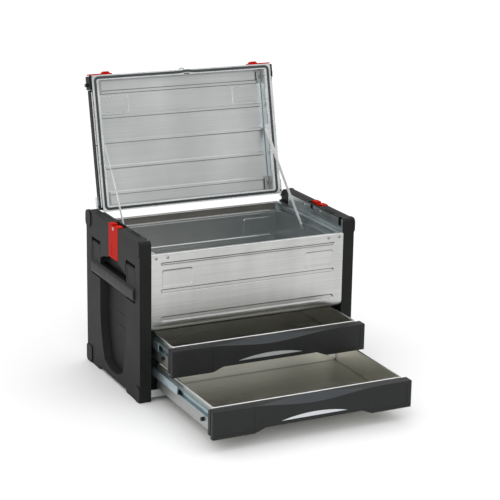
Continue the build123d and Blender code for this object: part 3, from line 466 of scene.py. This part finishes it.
def piece(name, made, body, slot, stands_for=(), edge=0.0, segments=2, finish=None):
    """Finishes one piece: paint, soft edges, smooth shading, body and material slot."""
    obj = made if isinstance(made, bpy.types.Object) else loose(name, made)
    obj.name = name
    obj.data.name = name
    painted(obj, slot)
    if finish:
        obj.data.materials[0] = finish
    softened(obj, edge, segments)
    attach(obj, body)
    if stands_for:
        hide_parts(*stands_for)
    return obj


SIDES = (("right", 1), ("left", -1))


def on_side(side, bm):
    """The same bmesh for the other side where it is the left one."""
    return bm if side > 0 else mirrored(bm)


def flipped(side, obj):
    """The same object for the other side where it is the left one."""
    if side < 0:
        obj.data.transform(Matrix.Scale(-1, 4, (1, 0, 0)))
        obj.data.flip_normals()
    return obj


def mesh_of(obj):
    """bmesh of an object, which is removed."""
    bm = bmesh.new()
    bm.from_mesh(obj.data)
    bpy.data.objects.remove(obj)
    return bm


# ------------------------------------------------------------------ side panels

PANEL_X = (260.0, 290.0)
PANEL_DEEP, PANEL_HIGH = 350.0, 404.0
SCOOP_MID_Y, SCOOP_HALF = 172.0, 87.0
SCOOP_FLOOR_X = 272.0
LATCH_SPAN = (138.0, 196.0)
LEG_SPANS = ((31.0, 85.0), (257.0, 311.0))
PADS = (((-0.8, 30), (366, PANEL_HIGH + 0.6), 11), ((318, 351.5), (360, PANEL_HIGH + 0.6), 15),
        ((316, 351.5), (0.5, 46), 9), ((-0.8, 28), (0.5, 40), 9))


def scoop_outline():
    """Arched outline of the hand scoop in the panel's side face."""
    low, high = SCOOP_MID_Y - SCOOP_HALF, SCOOP_MID_Y + SCOOP_HALF
    return (arc((low, 300), (SCOOP_MID_Y, 320), (high, 300), 14) + [(high, 300), (high, 240)]
            + arc((high, 190), (high - 5, 112), (SCOOP_MID_Y + 61, 40), 10)
            + arc((SCOOP_MID_Y + 61, 40), (SCOOP_MID_Y, 23), (SCOOP_MID_Y - 61, 40), 12)
            + arc((SCOOP_MID_Y - 61, 40), (low + 5, 112), (low, 190), 10) + [(low, 190), (low, 240)])


def panel_body():
    """Plain moulding with its feet and rounded top corners."""
    outline = rounded([
        (1.5, 0, 2), (86, 0, 2), (88, 8, 2), (262, 8, 2), (264, 0, 2), (PANEL_DEEP - 1.5, 0, 2),
        (PANEL_DEEP, 40, 0), (PANEL_DEEP, PANEL_HIGH, 17), (0, PANEL_HIGH, 11), (0, 40, 0)])
    return slab(outline, PANEL_X, "x")


def bumpers():
    """Raised corner pads that stand a little proud of the side face."""
    pads = []
    for y, z, radius in PADS:
        pads.append(slab(rectangle(y, z, radius), (286, PANEL_X[1] + 2.4)))
    return pads


def side_panel(side):
    """One end moulding, with scoop, handle pocket, latch recess, lug pocket and feet."""
    right = PANEL_X[1] + 4
    changes = [("UNION", pad) for pad in bumpers()]
    changes.append(("DIFFERENCE", slab(scoop_outline(), (right, SCOOP_FLOOR_X), "x", inset=6.5)))
    bar_z = (245.0, 287.0)
    changes.append(("DIFFERENCE", box_of((269.5, right), (28, 314), bar_z, 2)))
    for span in LEG_SPANS:
        changes.append(("DIFFERENCE", box_of((275.5, right), (span[0] - 3, span[1] + 3), (246, 341), 2)))
    latch = (LATCH_SPAN[0] - 1, LATCH_SPAN[1] + 1)
    changes += [
        ("DIFFERENCE", box_of((283, right), latch, (290, PANEL_HIGH + 3))),
        ("DIFFERENCE", box_of((264, right), latch, (378, PANEL_HIGH + 3))),
        ("DIFFERENCE", box_of((258, 266), (298, PANEL_DEEP + 3), (373, PANEL_HIGH + 3))),
        ("DIFFERENCE", box_of((258, 265.5), (13, 27), (383, PANEL_HIGH + 3))),
        ("DIFFERENCE", rod("x", (258, 272), (20, 390), 2.7)),
        ("DIFFERENCE", box_of((270.5, 272), (34, 130), (PANEL_HIGH - 1.2, PANEL_HIGH + 3))),
        ("DIFFERENCE", box_of((270.5, 272), (204, 292), (PANEL_HIGH - 1.2, PANEL_HIGH + 3))),
    ]
    for i in range(6):
        y = 60 + 8 * i
        notch = box_of((261.5, 269), (y, y + 4), (PANEL_HIGH - 1.0, PANEL_HIGH + 3))
        changes.append(("DIFFERENCE", notch))
    for y, z in (((8, 138), (12, 232)), ((212, 342), (12, 232)), ((8, 342), (240, 362))):
        changes.append(("DIFFERENCE", box_of((258, 262.5), y, z, 3)))
    for z in (146.0, 178.0):
        rib = box_of((SCOOP_FLOOR_X - 1, SCOOP_FLOOR_X + 0.7), (104, 194), (z, z + 1.6))
        changes.append(("UNION", rib))
    return flipped(side, carved(loose("panel", panel_body()), changes))


for word, side in SIDES:
    piece(f"cheek_{word}", side_panel(side), "case", "black_plastic", [f"side_panel_{word}"], 1.5, 3)

# ------------------------------------------------------------------ carrying handles

GRIP_MID = (283.0, 266.0)
GRIP_HALF = (12.0, 18.0)
GRIP_SPAN = (30.0, 312.0)


def grip(side):
    """Rounded grip bar: flat-sided, drawn in at its ends, with shallow finger seats."""
    loops = []
    steps = 94
    for i in range(steps + 1):
        y = GRIP_SPAN[0] + (GRIP_SPAN[1] - GRIP_SPAN[0]) * i / steps
        end = min(y - GRIP_SPAN[0], GRIP_SPAN[1] - y)
        draw = 3.5 * max(0.0, 1 - end / 3.5) ** 2
        inside = LEG_SPANS[0][1] + 8 < y < LEG_SPANS[1][0] - 8
        seat = 0.4 * max(0.0, math.cos((y - SCOOP_MID_Y) * math.tau / 36.0)) ** 6 if inside else 0.0
        half_x, half_z = GRIP_HALF[0] - draw - seat, GRIP_HALF[1] - draw - seat
        ring = []
        for j in range(40):
            a = math.tau * j / 40
            c, s = math.cos(a), math.sin(a)
            u = math.copysign(abs(c) ** 0.62, c) * half_x
            v = math.copysign(abs(s) ** 0.62, s) * half_z
            ring.append(at(GRIP_MID[0] + u, y, GRIP_MID[1] + v))
        loops.append(ring)
    return on_side(side, lofted(loops))


def handle_legs(side):
    """Moulded legs of the handle, each with a pressed field and a rounded eye."""
    parts = []
    for span in LEG_SPANS:
        outline = rounded([(276.5, 276, 2), (289.5, 276, 2), (289.5, 327, 0), (287.6, 331.6, 0),
                           (283, 333.5, 0), (278.4, 331.6, 0), (276.5, 327, 0)], 3)
        leg = loose("leg", slab(outline, span, "y"))
        field = box_of((289.0, 292), (span[0] + 8, span[1] - 8), (290, 322), 2)
        parts.append(mesh_of(carved(leg, [("DIFFERENCE", field)])))
    return on_side(side, joined(*parts))


for word, side in SIDES:
    piece(f"grip_{word}", grip(side), f"handle_{word}", "grip_rubber", [f"handle_grip_{word}"])
    piece(f"handle_legs_{word}", handle_legs(side), f"handle_{word}", "black_plastic",
          [f"handle_frame_{word}"], 0.8, 3)

# ------------------------------------------------------------------ stacking latches

LATCH_FACE_X, LATCH_TOP = 290.5, 406.0
LATCH_MIDDLE = sum(LATCH_SPAN) / 2
RIVET_PLACE = (LATCH_MIDDLE, 396.5)


def latch(side):
    """Red stacking latch: outer plate with a shallow field, lip with an open notch, and its hub."""
    outline = rounded([(LATCH_SPAN[0], 324, 2), (LATCH_SPAN[0] + 2, 320.5, 1), (LATCH_SPAN[1], 320.5, 2),
                       (LATCH_SPAN[1], LATCH_TOP, 2), (LATCH_SPAN[0], LATCH_TOP, 2)])
    notch = (LATCH_MIDDLE - 7, LATCH_MIDDLE + 7)
    field = (LATCH_MIDDLE - 12, LATCH_MIDDLE + 12)
    hub = (LATCH_SPAN[0] + 0.5, LATCH_SPAN[1] - 0.5)
    changes = [
        ("UNION", box_of((275, LATCH_FACE_X - 1), LATCH_SPAN, (400, LATCH_TOP), 1)),
        ("UNION", box_of((277.5, LATCH_FACE_X - 2), hub, (387.5, 404), 1)),
        ("DIFFERENCE", box_of((268, LATCH_FACE_X + 3), notch, (402.5, LATCH_TOP + 4))),
        ("DIFFERENCE", rod("x", (LATCH_FACE_X - 3, LATCH_FACE_X + 2), RIVET_PLACE, 2.6)),
        ("DIFFERENCE", box_of((LATCH_FACE_X - 0.5, LATCH_FACE_X + 2), field, (328, 356), 3)),
    ]
    made = carved(loose("latch", slab(outline, (284.5, LATCH_FACE_X), "x")), changes)
    return flipped(side, made)


def hollow_rivet(side):
    """Open rivet ring with a turned-over lip, at the top of a stacking latch."""
    ring = loose("ring", rod("x", (LATCH_FACE_X - 1.5, LATCH_FACE_X + 0.9), RIVET_PLACE, 4.3))
    return flipped(side, carved(ring, [("DIFFERENCE", rod("x", (285, 295), RIVET_PLACE, 2.5))]))


for word, side in SIDES:
    body = f"stack_latch_{word}"
    piece(f"latch_{word}", latch(side), body, "red_plastic", [f"latch_plate_{word}"], 0.6, 2)
    piece(f"rivet_ring_{word}", hollow_rivet(side), body, "bright_steel", [f"latch_rivet_{word}"], 0.5, 3)
    core = on_side(side, rod("x", (LATCH_FACE_X - 2.9, LATCH_FACE_X - 1.2), RIVET_PLACE, 2.6))
    piece(f"rivet_core_{word}", core, body, "red_plastic", edge=0.2, finish=FINISHES["black_plastic"])

# ------------------------------------------------------------------ lid: seal, straps

LID_JOINT = next(j for j in frame["joints"] if j["name"] == "lid_hinge")
LID_PIVOT = Vector(LID_JOINT["pos_m"])
LID_TURN = -math.radians(LID_JOINT["range_deg"][1])
LID_OPEN = (Matrix.Translation(LID_PIVOT) @ Matrix.Rotation(LID_TURN, 4, "X")
            @ Matrix.Translation(-LID_PIVOT))
LID_SPAN_Y = (-3.5, 341.5)
FLANGE_Z = 372.8


def opened(bm):
    """A shape of the closed lid, turned up to the open lid."""
    bm.transform(LID_OPEN)
    return bm


def swept(path, section, across, closed=False):
    """Section of (sideways, upwards) points carried along a path; across gives the upward side."""
    loops = []
    last = len(path) - 1
    for i, point in enumerate(path):
        if closed:
            along = path[(i + 1) % len(path)] - path[i - 1]
        else:
            along = path[min(i + 1, last)] - path[max(i - 1, 0)]
        up = across[i] if isinstance(across, list) else across
        sideways = along.normalized().cross(up).normalized()
        up = sideways.cross(along.normalized())
        loops.append([point + sideways * u * MM + up * v * MM for u, v in section])
    return lofted(loops, closed=not closed)


SEAL_INSET = 6.6


def seal():
    """Rubber seal on the lid's flange, with a detour round the slot behind the pull tab."""
    half_x, middle = 243.0, sum(LID_SPAN_Y) / 2
    y = (LID_SPAN_Y[0] + SEAL_INSET, LID_SPAN_Y[1] - SEAL_INSET)
    corners = rounded([(-half_x, y[1], 9), (-half_x, y[0], 9), (half_x, y[0], 9), (half_x, y[1], 9)], 8)
    points = []
    for i, (x, v) in enumerate(corners):
        points.append((x, v))
        far_x, far_v = corners[(i + 1) % len(corners)]
        gap = math.hypot(far_x - x, far_v - v)
        extra = int(gap / 5) if gap > 20 else 0
        for k in range(1, extra + 1):
            share = k / (extra + 1)
            points.append((x + (far_x - x) * share, v + (far_v - v) * share))
    path = []
    for x, v in points:
        if v < middle:
            v -= 2.6 * math.exp(-((x - 10) / 13) ** 2)
        path.append(at(x, v, FLANGE_Z - 1.25))
    section = rounded([(-3.5, 0.9, 0.2), (3.5, 0.9, 0.2), (3.1, -1.2, 1.0), (0.8, -0.7, 0.4),
                       (-0.8, -0.7, 0.4), (-3.1, -1.2, 1.0)], 3)
    return opened(swept(path, section, Vector((0, 0, 1)), closed=True))


piece("seal", seal(), "lid", "seal_rubber", ["lid_seal"])


def ring_plate(outer, inner, span):
    """Flat ring between two outlines, as thick as its span along z."""
    frame_plate = loose("ring", slab(outer, span, "z"))
    return carved(frame_plate, [("DIFFERENCE", slab(inner, (span[0] - 1, span[1] + 1), "z"))])


PAN_FACE_Z = 399.8
LID_FLANGE_X, LID_INNER_X = 251.5, 234.0
# Lid flange in the lighter zinc: painted highlight.
flange = ring_plate(
    rectangle((-LID_FLANGE_X, LID_FLANGE_X), LID_SPAN_Y, 8),
    rectangle((-LID_INNER_X, LID_INNER_X), (LID_SPAN_Y[0] + 13.0, LID_SPAN_Y[1] - 13.0), 5),
    (FLANGE_Z - 1.0, FLANGE_Z - 0.1))
carved(flange, [("DIFFERENCE", box_of((2, 18), (6.2, 8.4), (FLANGE_Z - 3, FLANGE_Z + 2), 1))])
flange.data.transform(LID_OPEN)
piece("lid_flange", flange, "lid", "galvanised_sheet", edge=0.3, finish=FINISHES["highlight_zinc"])

for word, side in SIDES:
    # Dark plates with two cut-outs on the lid's inner side walls: painted shade on the walls.
    shade_liner = loose("shade_liner", box_of((232.4, 233.4), (14, 324), (376, 398), 2))
    carved(shade_liner, [("DIFFERENCE", box_of((230, 236), (y, y + 60), (374, 381))) for y in (60, 220)])
    piece(f"lid_liner_{word}", opened(on_side(side, mesh_of(shade_liner))), "lid", "zinc_fitting", edge=0.2,
          finish=FINISHES["shaded_tub_sheet"])
    # Side rail strips in the lighter zinc: painted highlight.
    strips = joined(*[box_of((252.2, 255.2), y, (375.2, 376.2), 0.8)
                      for y in ((38, 172), (174, 330))])
    piece(f"rail_strips_{word}", opened(on_side(side, strips)), "lid", "zinc_fitting", edge=0.15,
          finish=FINISHES["highlight_zinc"])
    # Raised bead round each pressed field, in the lighter zinc: a real bead with a painted highlight.
    bead = ring_plate(rectangle((147, 229), (50.5, 94.5), 4), rectangle((149, 227), (52.5, 92.5), 3),
                      (PAN_FACE_Z - 0.8, PAN_FACE_Z + 0.2))
    bead = flipped(side, bead)
    bead.data.transform(LID_OPEN)
    piece(f"lid_field_bead_{word}", bead, "lid", "galvanised_sheet", edge=0.15,
          finish=FINISHES["highlight_zinc"])

loop = loose("loop", slab(arc((11.0, -3.0), (3.0, -8.6), (-5.0, -3.0), 24), (387.0, 389.0), "z"))
carved(loop, [("DIFFERENCE", slab(arc((8.4, -3.2), (3.0, -6.6), (-2.4, -3.2), 20), (386, 390), "z"))])
loop.data.transform(LID_OPEN)
piece("pull_loop", loop, "lid", "zinc_fitting", ["lid_pull_tab"], edge=0.4,
      finish=FINISHES["shaded_sheet"])
# Black plate in the flange's slot behind the pull tab: painted shade for the dark slot.
slot_shade = box_of((3, 17), (6.0, 8.6), (FLANGE_Z - 1.5, FLANGE_Z - 0.2), 0.6)
piece("pull_grommet", opened(slot_shade), "lid", "seal_rubber", edge=0.2, finish=FINISHES["black_plastic"])

STRAP_FOOT = (242.8, 190.0, 345.0)
STRAP_HEAD = (229.8, LID_SPAN_Y[1] - 177.0, FLANGE_Z + 10.0)


def strap(side):
    """Flat woven strap from the compartment wall to the lid, a little slack and twisted."""
    foot = at(side * STRAP_FOOT[0], *STRAP_FOOT[1:])
    head = LID_OPEN @ at(side * STRAP_HEAD[0], *STRAP_HEAD[1:])
    run = head - foot
    flat = Vector((side, 0, 0))
    path, across = [], []
    steps = 60
    for i in range(steps + 1):
        share = i / steps
        sag = math.sin(math.pi * share) * 3.0 * MM
        path.append(foot + run * share + Vector((-side * sag * 0.6, -sag, -sag)))
        turn = Matrix.Rotation(side * 0.5 * share * share, 3, run.normalized())
        across.append(turn @ flat)
    section = [(-5, -0.35), (-4.6, -0.6), (4.6, -0.6), (5, -0.35),
               (5, 0.35), (4.6, 0.6), (-4.6, 0.6), (-5, 0.35)]
    made = loose("strap", swept(path, section, across))
    painted(made, "strap_webbing")
    return made, foot, head


for word, side in SIDES:
    web, foot, head = strap(side)
    web.name = f"strap_{word}"
    softened(web)
    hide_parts(f"lid_strap_{word}")
    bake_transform(web)

# ------------------------------------------------------------------ drawer fronts and hems

FACE_HALF, FACE_HIGH, FACE_DEEP = 259.4, 66.5, 26.0
PLATE_DEEP = 11.5
DRAWERS = {"upper": 102.0, "lower": 31.5}


def smile(x):
    """How far the upper edge of a drawer front is scooped at a place along it."""
    return 12.5 * math.cos(math.pi / 2 * min(1.0, abs(x) / 178)) ** 2


def raised(x):
    """How far the lower edge of a drawer front is raised at a place along it."""
    share = min(1.0, max(0.0, (153 - abs(x)) / 27))
    return 10.5 * share


def drawer_face(low, shift):
    """Moulded drawer front: one loft along the width, with edges rounded at both ends."""
    stations = [-FACE_HALF + e for e in (0, 0.4, 1.2, 3)]
    stations += [-256 + 512 * i / 110 for i in range(1, 110)]
    stations += [FACE_HALF - e for e in (3, 1.2, 0.4, 0)]
    top = low + FACE_HIGH
    loops = []
    for x in stations:
        end = FACE_HALF - abs(x)
        back = 1.6 * max(0.0, 1 - end / 1.6) ** 2
        drop = smile(x)
        deep = min(FACE_DEEP - 0.5, max(0.9, drop * FACE_DEEP / 12.5))
        base = low + raised(x) + 0.4 * back
        head = top - 0.4 * back
        ring = [(FACE_DEEP, base), (back + 1.4, base), (back + 0.4, base + 0.4), (back, base + 1.4),
                (back, head - drop - 1.4), (back + 0.35, head - drop - 0.45), (back + deep, head),
                (FACE_DEEP, head)]
        loops.append([at(x, y + shift, z) for y, z in ring])
    face = loose("face", lofted(loops))
    low_arc = arc((86, low + 20.5), (0, low + 30.5), (-86, low + 20.5), 40)
    cuts = [slab(low_arc + [(-86, low + 20.5)], (shift - 1, shift + 2.0), "y"),
            box_of((-255.4, 255.4), (shift + 5, shift + 30), (low + 15, low + 49.5)),
            box_of((-270, 270), (shift + PLATE_DEEP, shift + 30), (low - 5, low + 7))]
    for side in (-1, 1):
        pad_x = sorted((side * 153.0, side * 247.0))
        cuts.append(slab(rectangle(pad_x, (low + 8, low + 58), 2), (shift - 1, shift + 0.8), "y"))
        end_x = sorted((side * 257.6, side * 270))
        cuts.append(box_of(end_x, (shift + PLATE_DEEP, shift + 15), (low - 5, top + 5)))
    carved(face, [("DIFFERENCE", cut) for cut in cuts])
    face.data.materials.append(FINISHES["drawer_plastic"])
    face.data.materials.append(FINISHES["smile_painted_sheen"])
    # Upward-tilted faces of the scoop get the lighter bluish plastic: painted sheen.
    for polygon in face.data.polygons:
        up = polygon.normal.z
        polygon.material_index = 1 if 0.5 < up < 0.995 and abs(polygon.center.x) < 0.178 else 0
    return face


def hem(low, shift):
    """Rolled hem around a tray's upper edge."""
    half, front, rear = 244.9, shift + 27.9, shift + 342.4
    height = low + FACE_HIGH + 0.3
    corners = rounded([(-half, rear, 4), (-half, front, 4), (half, front, 4), (half, rear, 4)], 4)
    ring = [(1.9 * math.cos(math.tau * i / 12), 1.9 * math.sin(math.tau * i / 12)) for i in range(12)]
    return swept([at(x, y, height) for x, y in corners], ring, Vector((0, 0, 1)), closed=True)


for drawer, low in DRAWERS.items():
    shift = (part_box(f"{drawer}_drawer_front")[0].y - FRONT_Y) / MM
    body = f"{drawer}_drawer"
    face = drawer_face(low, shift)
    face.name = f"{drawer}_face"
    face.data.name = face.name
    softened(face, 0.5)
    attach(face, body)
    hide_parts(f"{drawer}_drawer_front")
    piece(f"{drawer}_hem", hem(low, shift), body, "tray_steel", finish=FINISHES["bright_steel"])

for drawer, low in DRAWERS.items():
    shift = (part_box(f"{drawer}_drawer_front")[0].y - FRONT_Y) / MM
    body = f"{drawer}_drawer"
    skirt_y, skirt_z = (shift + 27, shift + 343), (low + 5.6, low + 39.6)
    skirts = joined(*[on_side(side, box_of((246.45, 247.1), skirt_y, skirt_z, 1.5)) for _, side in SIDES])
    piece(f"{drawer}_tray_skirts", skirts, body, "tray_steel", edge=0.2, finish=FINISHES["skirt_steel"])

    plate = loose("catch", box_of((227, 241), (shift + 340.6, shift + 342.9), (low + 13, low + 25), 1.5))
    carved(plate, [("DIFFERENCE", rod("y", (shift + 339, shift + 345), (234, low + 19), 2.4, 16))])
    piece(f"{drawer}_catch", plate, body, "bright_steel", edge=0.3)

# ------------------------------------------------------------------ pressed front sheet

BEADS = ((345.0, 7.0), (277.0, 10.0), (207.0, 13.0))
BEAD_HALF, BEAD_DEEP, BEAD_WALL = 235.0, 3.0, 2.9
FIELD_MIDDLE, FIELD_HALF = (192.0, 309.5), (40.0, 20.5)
FIELD_DEEP, FIELD_WALL, FIELD_R = 1.5, 1.8, 6.0
SHEET_HALF_X, SHEET_THICK = 259.6, 1.2
RIM_TOP, RIM_ROLL, RIM_WIDE = 370.0, 1.7, 8.0
BEND_R, BEND_Z = 22.0, 173.0


def gentle(value):
    """Smooth step from 0 to 1."""
    value = min(1.0, max(0.0, value))
    return value * value * (3 - 2 * value)


def pressing(x, z):
    """How deep the front sheet is pressed in at a place on its face."""
    deep = 0.0
    for height, width in BEADS:
        off = math.hypot(max(0.0, abs(x) - BEAD_HALF + width / 2), z - height)
        deep = max(deep, BEAD_DEEP * gentle((width / 2 + 0.6 - off) / BEAD_WALL))
    u = abs(abs(x) - FIELD_MIDDLE[0]) - FIELD_HALF[0] + FIELD_R
    v = abs(z - FIELD_MIDDLE[1]) - FIELD_HALF[1] + FIELD_R
    outside = math.hypot(max(u, 0.0), max(v, 0.0)) + min(max(u, v), 0.0) - FIELD_R
    return max(deep, FIELD_DEEP * gentle(-outside / FIELD_WALL))


def close_steps(low, high, coarse, places):
    """Numbers from high to low, close together around some places."""
    found = {round(low + (high - low) * i / math.ceil((high - low) / coarse), 2)
             for i in range(math.ceil((high - low) / coarse) + 1)}
    for middle, reach, step in places:
        count = int(reach / step)
        found |= {round(middle + step * i, 2) for i in range(-count, count + 1)}
    return sorted((v for v in found if low <= v <= high), reverse=True)


def front_sheet():
    """Front sheet: rolled rim, face with beads and fields, and the round bend below."""
    heights = close_steps(BEND_Z + BEND_R, RIM_TOP - RIM_ROLL, 5.0,
                          [(z, w / 2 + 1.8, 0.6) for z, w in BEADS]
                          + [(z, 2.4, 0.8) for z in (289.5, 329.5)])
    rows = [(RIM_WIDE, RIM_TOP), (5.0, RIM_TOP)]
    for i in range(5):
        a = math.pi / 2 * i / 5
        rows.append((RIM_ROLL - RIM_ROLL * math.sin(a), RIM_TOP - RIM_ROLL + RIM_ROLL * math.cos(a)))
    rows += [(0.0, z) for z in heights]
    for i in range(1, 13):
        a = math.pi / 2 * i / 12
        rows.append((BEND_R - BEND_R * math.cos(a), BEND_Z + BEND_R - BEND_R * math.sin(a)))
    rows.append((40.0, BEND_Z))
    ends = [(side * x, 6.4, 0.8) for side in (-1, 1) for x in (152.5, 231.5)]
    across = close_steps(-SHEET_HALF_X, SHEET_HALF_X, 8.0, ends)[::-1]
    bm = bmesh.new()
    grid = []
    for y, z in rows:
        deep = [pressing(x, z) if y == 0.0 else 0.0 for x in across]
        grid.append([bm.verts.new(at(x, y + d, z)) for x, d in zip(across, deep)])
    for upper, lower in zip(grid, grid[1:]):
        for i in range(len(across) - 1):
            bm.faces.new((upper[i], lower[i], lower[i + 1], upper[i + 1]))
    sheet = loose("front_sheet", bm)
    thick = sheet.modifiers.new("thick", "SOLIDIFY")
    thick.thickness, thick.offset = SHEET_THICK * MM, -1
    return settle(sheet)


piece("front_sheet", front_sheet(), "case", "galvanised_sheet", ["front_panel"],
      finish=FINISHES["front_sheet"])

# ------------------------------------------------------------------ rims of the compartment

piece("front_rim", rod("x", (-256, 256), (1.0, 368.7), 1.5, 14), "case", "galvanised_sheet",
      finish=FINISHES["bright_steel"])
rims = joined(rod("x", (-250, 250), (340.5, 369.2), 1.3, 14),
              rod("x", (-244, 244), (347.2, 347.6), 1.5, 14),
              rod("x", (-244, 244), (347.2, 341.8), 1.2, 14))
piece("rear_rims", rims, "case", "galvanised_sheet", finish=FINISHES["bright_steel"])
# Dark fold line and thin band at the back, in the shaded sheet: painted shade along the fold and on the wall below
# the rear flange.
piece("rear_fold", rod("x", (-250, 250), (343.4, 370.2), 0.9, 12), "case", "galvanised_sheet",
      finish=FINISHES["shaded_sheet"])
piece("rear_shadow_band", box_of((-244, 244), (346.8, 347.4), (350.5, 367.5), 2), "case", "galvanised_sheet",
      edge=0.15, finish=FINISHES["shaded_sheet"])

# ------------------------------------------------------------------ screws and slide details

def cross_screw(x, z):
    """Round screw head with a cross recess, on the front sheet."""
    steps = 20
    profile = ((0.0, 4.0), (-0.9, 4.0), (-1.6, 3.4), (-2.1, 2.2), (-2.3, 0.9))
    loops = []
    for y, radius in profile:
        angles = [math.tau * i / steps for i in range(steps)]
        loops.append([at(x + radius * math.cos(a), y, z + radius * math.sin(a)) for a in angles])
    head = loose("screw", lofted(loops))
    return carved(head, [("DIFFERENCE", box_of((x - 2.8, x + 2.8), (-4, -0.9), (z - 0.6, z + 0.6))),
                         ("DIFFERENCE", box_of((x - 0.6, x + 0.6), (-4, -0.9), (z - 2.8, z + 2.8)))])


SCREW_Z = 361.0
heads = joined(*[mesh_of(cross_screw(x, SCREW_Z)) for x in (-248.0, -218.0, 218.0, 248.0)])
piece("screw_heads", heads, "case", "bright_steel", ["front_screws"], finish=FINISHES["skirt_steel"])


def ball_cage(side, height, front_y):
    """Perforated strip with steel balls at the front end of a middle slide member."""
    x = side * 253.4
    strip_x, strip_z = sorted((x, x + side * 0.8)), (height - 9.2, height + 9.2)
    strip = loose("cage", box_of(strip_x, (front_y, front_y + 70), strip_z, 1.5))
    holes = []
    balls = []
    for i in range(7):
        for z in (height - 7.0, height + 7.0):
            y = front_y + 6 + 9 * i
            holes.append(("DIFFERENCE", rod("x", (x - 2, x + 2), (y, z), 2.0, 14)))
            ball = bmesh.new()
            bmesh.ops.create_uvsphere(ball, u_segments=12, v_segments=8, radius=1.7 * MM)
            bmesh.ops.translate(ball, verts=ball.verts, vec=at(x + side * 0.4, y, z))
            balls.append(ball)
    slot = box_of((x - 2, x + 2), (front_y + 10, front_y + 60), (height - 3.5, height + 3.5), 2)
    holes.append(("DIFFERENCE", slot))
    return joined(mesh_of(carved(strip, holes)), *balls)


for drawer in ("upper", "lower"):
    box_low, box_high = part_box(f"{drawer}_mid_runners")
    height = (box_low.z + box_high.z) / 2 / MM
    front = (box_low.y - FRONT_Y) / MM + 2
    cages = joined(*[ball_cage(side, height, front) for _, side in SIDES])
    piece(f"{drawer}_ball_cages", cages, f"{drawer}_mid_slides", "bright_steel")

# ------------------------------------------------------------------ camera, floor and light

CAMERA_PLACE = Vector((-1.7261, -3.4997, 1.4700))
CAMERA_YAW, CAMERA_PITCH, CAMERA_ROLL = 0.463, 0.281, 0.017
CAMERA_LENS = 119.16


def add_camera():
    """Camera at the height and angle of the reference view."""
    forward = Vector((math.sin(CAMERA_YAW) * math.cos(CAMERA_PITCH),
                      math.cos(CAMERA_YAW) * math.cos(CAMERA_PITCH), -math.sin(CAMERA_PITCH)))
    side = Vector((math.cos(CAMERA_YAW), -math.sin(CAMERA_YAW), 0.0))
    above = side.cross(forward)
    right = math.cos(CAMERA_ROLL) * side + math.sin(CAMERA_ROLL) * above
    up = -math.sin(CAMERA_ROLL) * side + math.cos(CAMERA_ROLL) * above
    turn = Matrix((right, up, -forward)).transposed().to_4x4()
    camera = bpy.data.objects.new("camera", bpy.data.cameras.new("camera"))
    camera.matrix_world = Matrix.Translation(CAMERA_PLACE) @ turn
    camera.data.lens = CAMERA_LENS
    camera.data.sensor_width = 36.0
    camera.data.clip_end = 200.0
    bpy.context.scene.collection.objects.link(camera)
    bpy.context.scene.camera = camera


def add_light(name, place, size, power, tint=(1.0, 1.0, 1.0)):
    """Soft area light that faces the middle of the case."""
    lamp = bpy.data.lights.new(name, "AREA")
    lamp.shape = "RECTANGLE"
    lamp.size, lamp.size_y = size
    lamp.energy = power
    lamp.color = tint
    holder = bpy.data.objects.new(name, lamp)
    middle = (CAD_LOW + CAD_HIGH) / 2
    holder.location = place
    holder.rotation_euler = (middle - Vector(place)).to_track_quat("-Z", "Y").to_euler()
    bpy.context.scene.collection.objects.link(holder)


def add_floor():
    """Plain pale floor that also fills the background."""
    half = 40.0
    mesh = bpy.data.meshes.new("floor")
    corners = [(-half, -half, 0), (half, -half, 0), (half, half, 0), (-half, half, 0)]
    mesh.from_pydata([Vector(c) + Vector((0, 0, CAD_LOW.z)) for c in corners], [], [(0, 1, 2, 3)])
    floor = bpy.data.objects.new("floor", mesh)
    bpy.context.scene.collection.objects.link(floor)
    paint = bpy.data.materials.new("pale_floor")
    paint.use_nodes = True
    shader = paint.node_tree.nodes["Principled BSDF"]
    shader.inputs["Base Color"].default_value = (0.9, 0.9, 0.9, 1)
    shader.inputs["Roughness"].default_value = 0.9
    mesh.materials.append(paint)
    floor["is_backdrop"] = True


SKY_LOW, SKY_HIGH = 0.50, 1.42
SKY_SPAN = (0.25, 0.75)


def add_world():
    """Pale surroundings, like one wide overhead soft box: brighter above than at eye level."""
    world = bpy.data.worlds.new("studio")
    bpy.context.scene.world = world
    world.use_nodes = True
    tree = world.node_tree
    shade = tree.nodes["Background"]
    shade.inputs["Color"].default_value = (1.0, 1.0, 1.0, 1)
    place = node(tree, "ShaderNodeTexCoord")
    split = node(tree, "ShaderNodeSeparateXYZ")
    tree.links.new(place.outputs["Generated"], split.inputs[0])
    strength = spread(tree, split.outputs["Z"], SKY_LOW, SKY_HIGH, *SKY_SPAN)
    tree.links.new(strength, shade.inputs["Strength"])


add_camera()
add_floor()
add_world()
add_light("key", (-1.6, -3.55, 2.25), (1.6, 1.6), 23)
add_light("fill", (-0.7, -3.5, 1.1), (1.6, 1.6), 5)
bpy.context.scene.view_settings.view_transform = "Standard"

# ------------------------------------------------------------------ size of the scene

low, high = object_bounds()
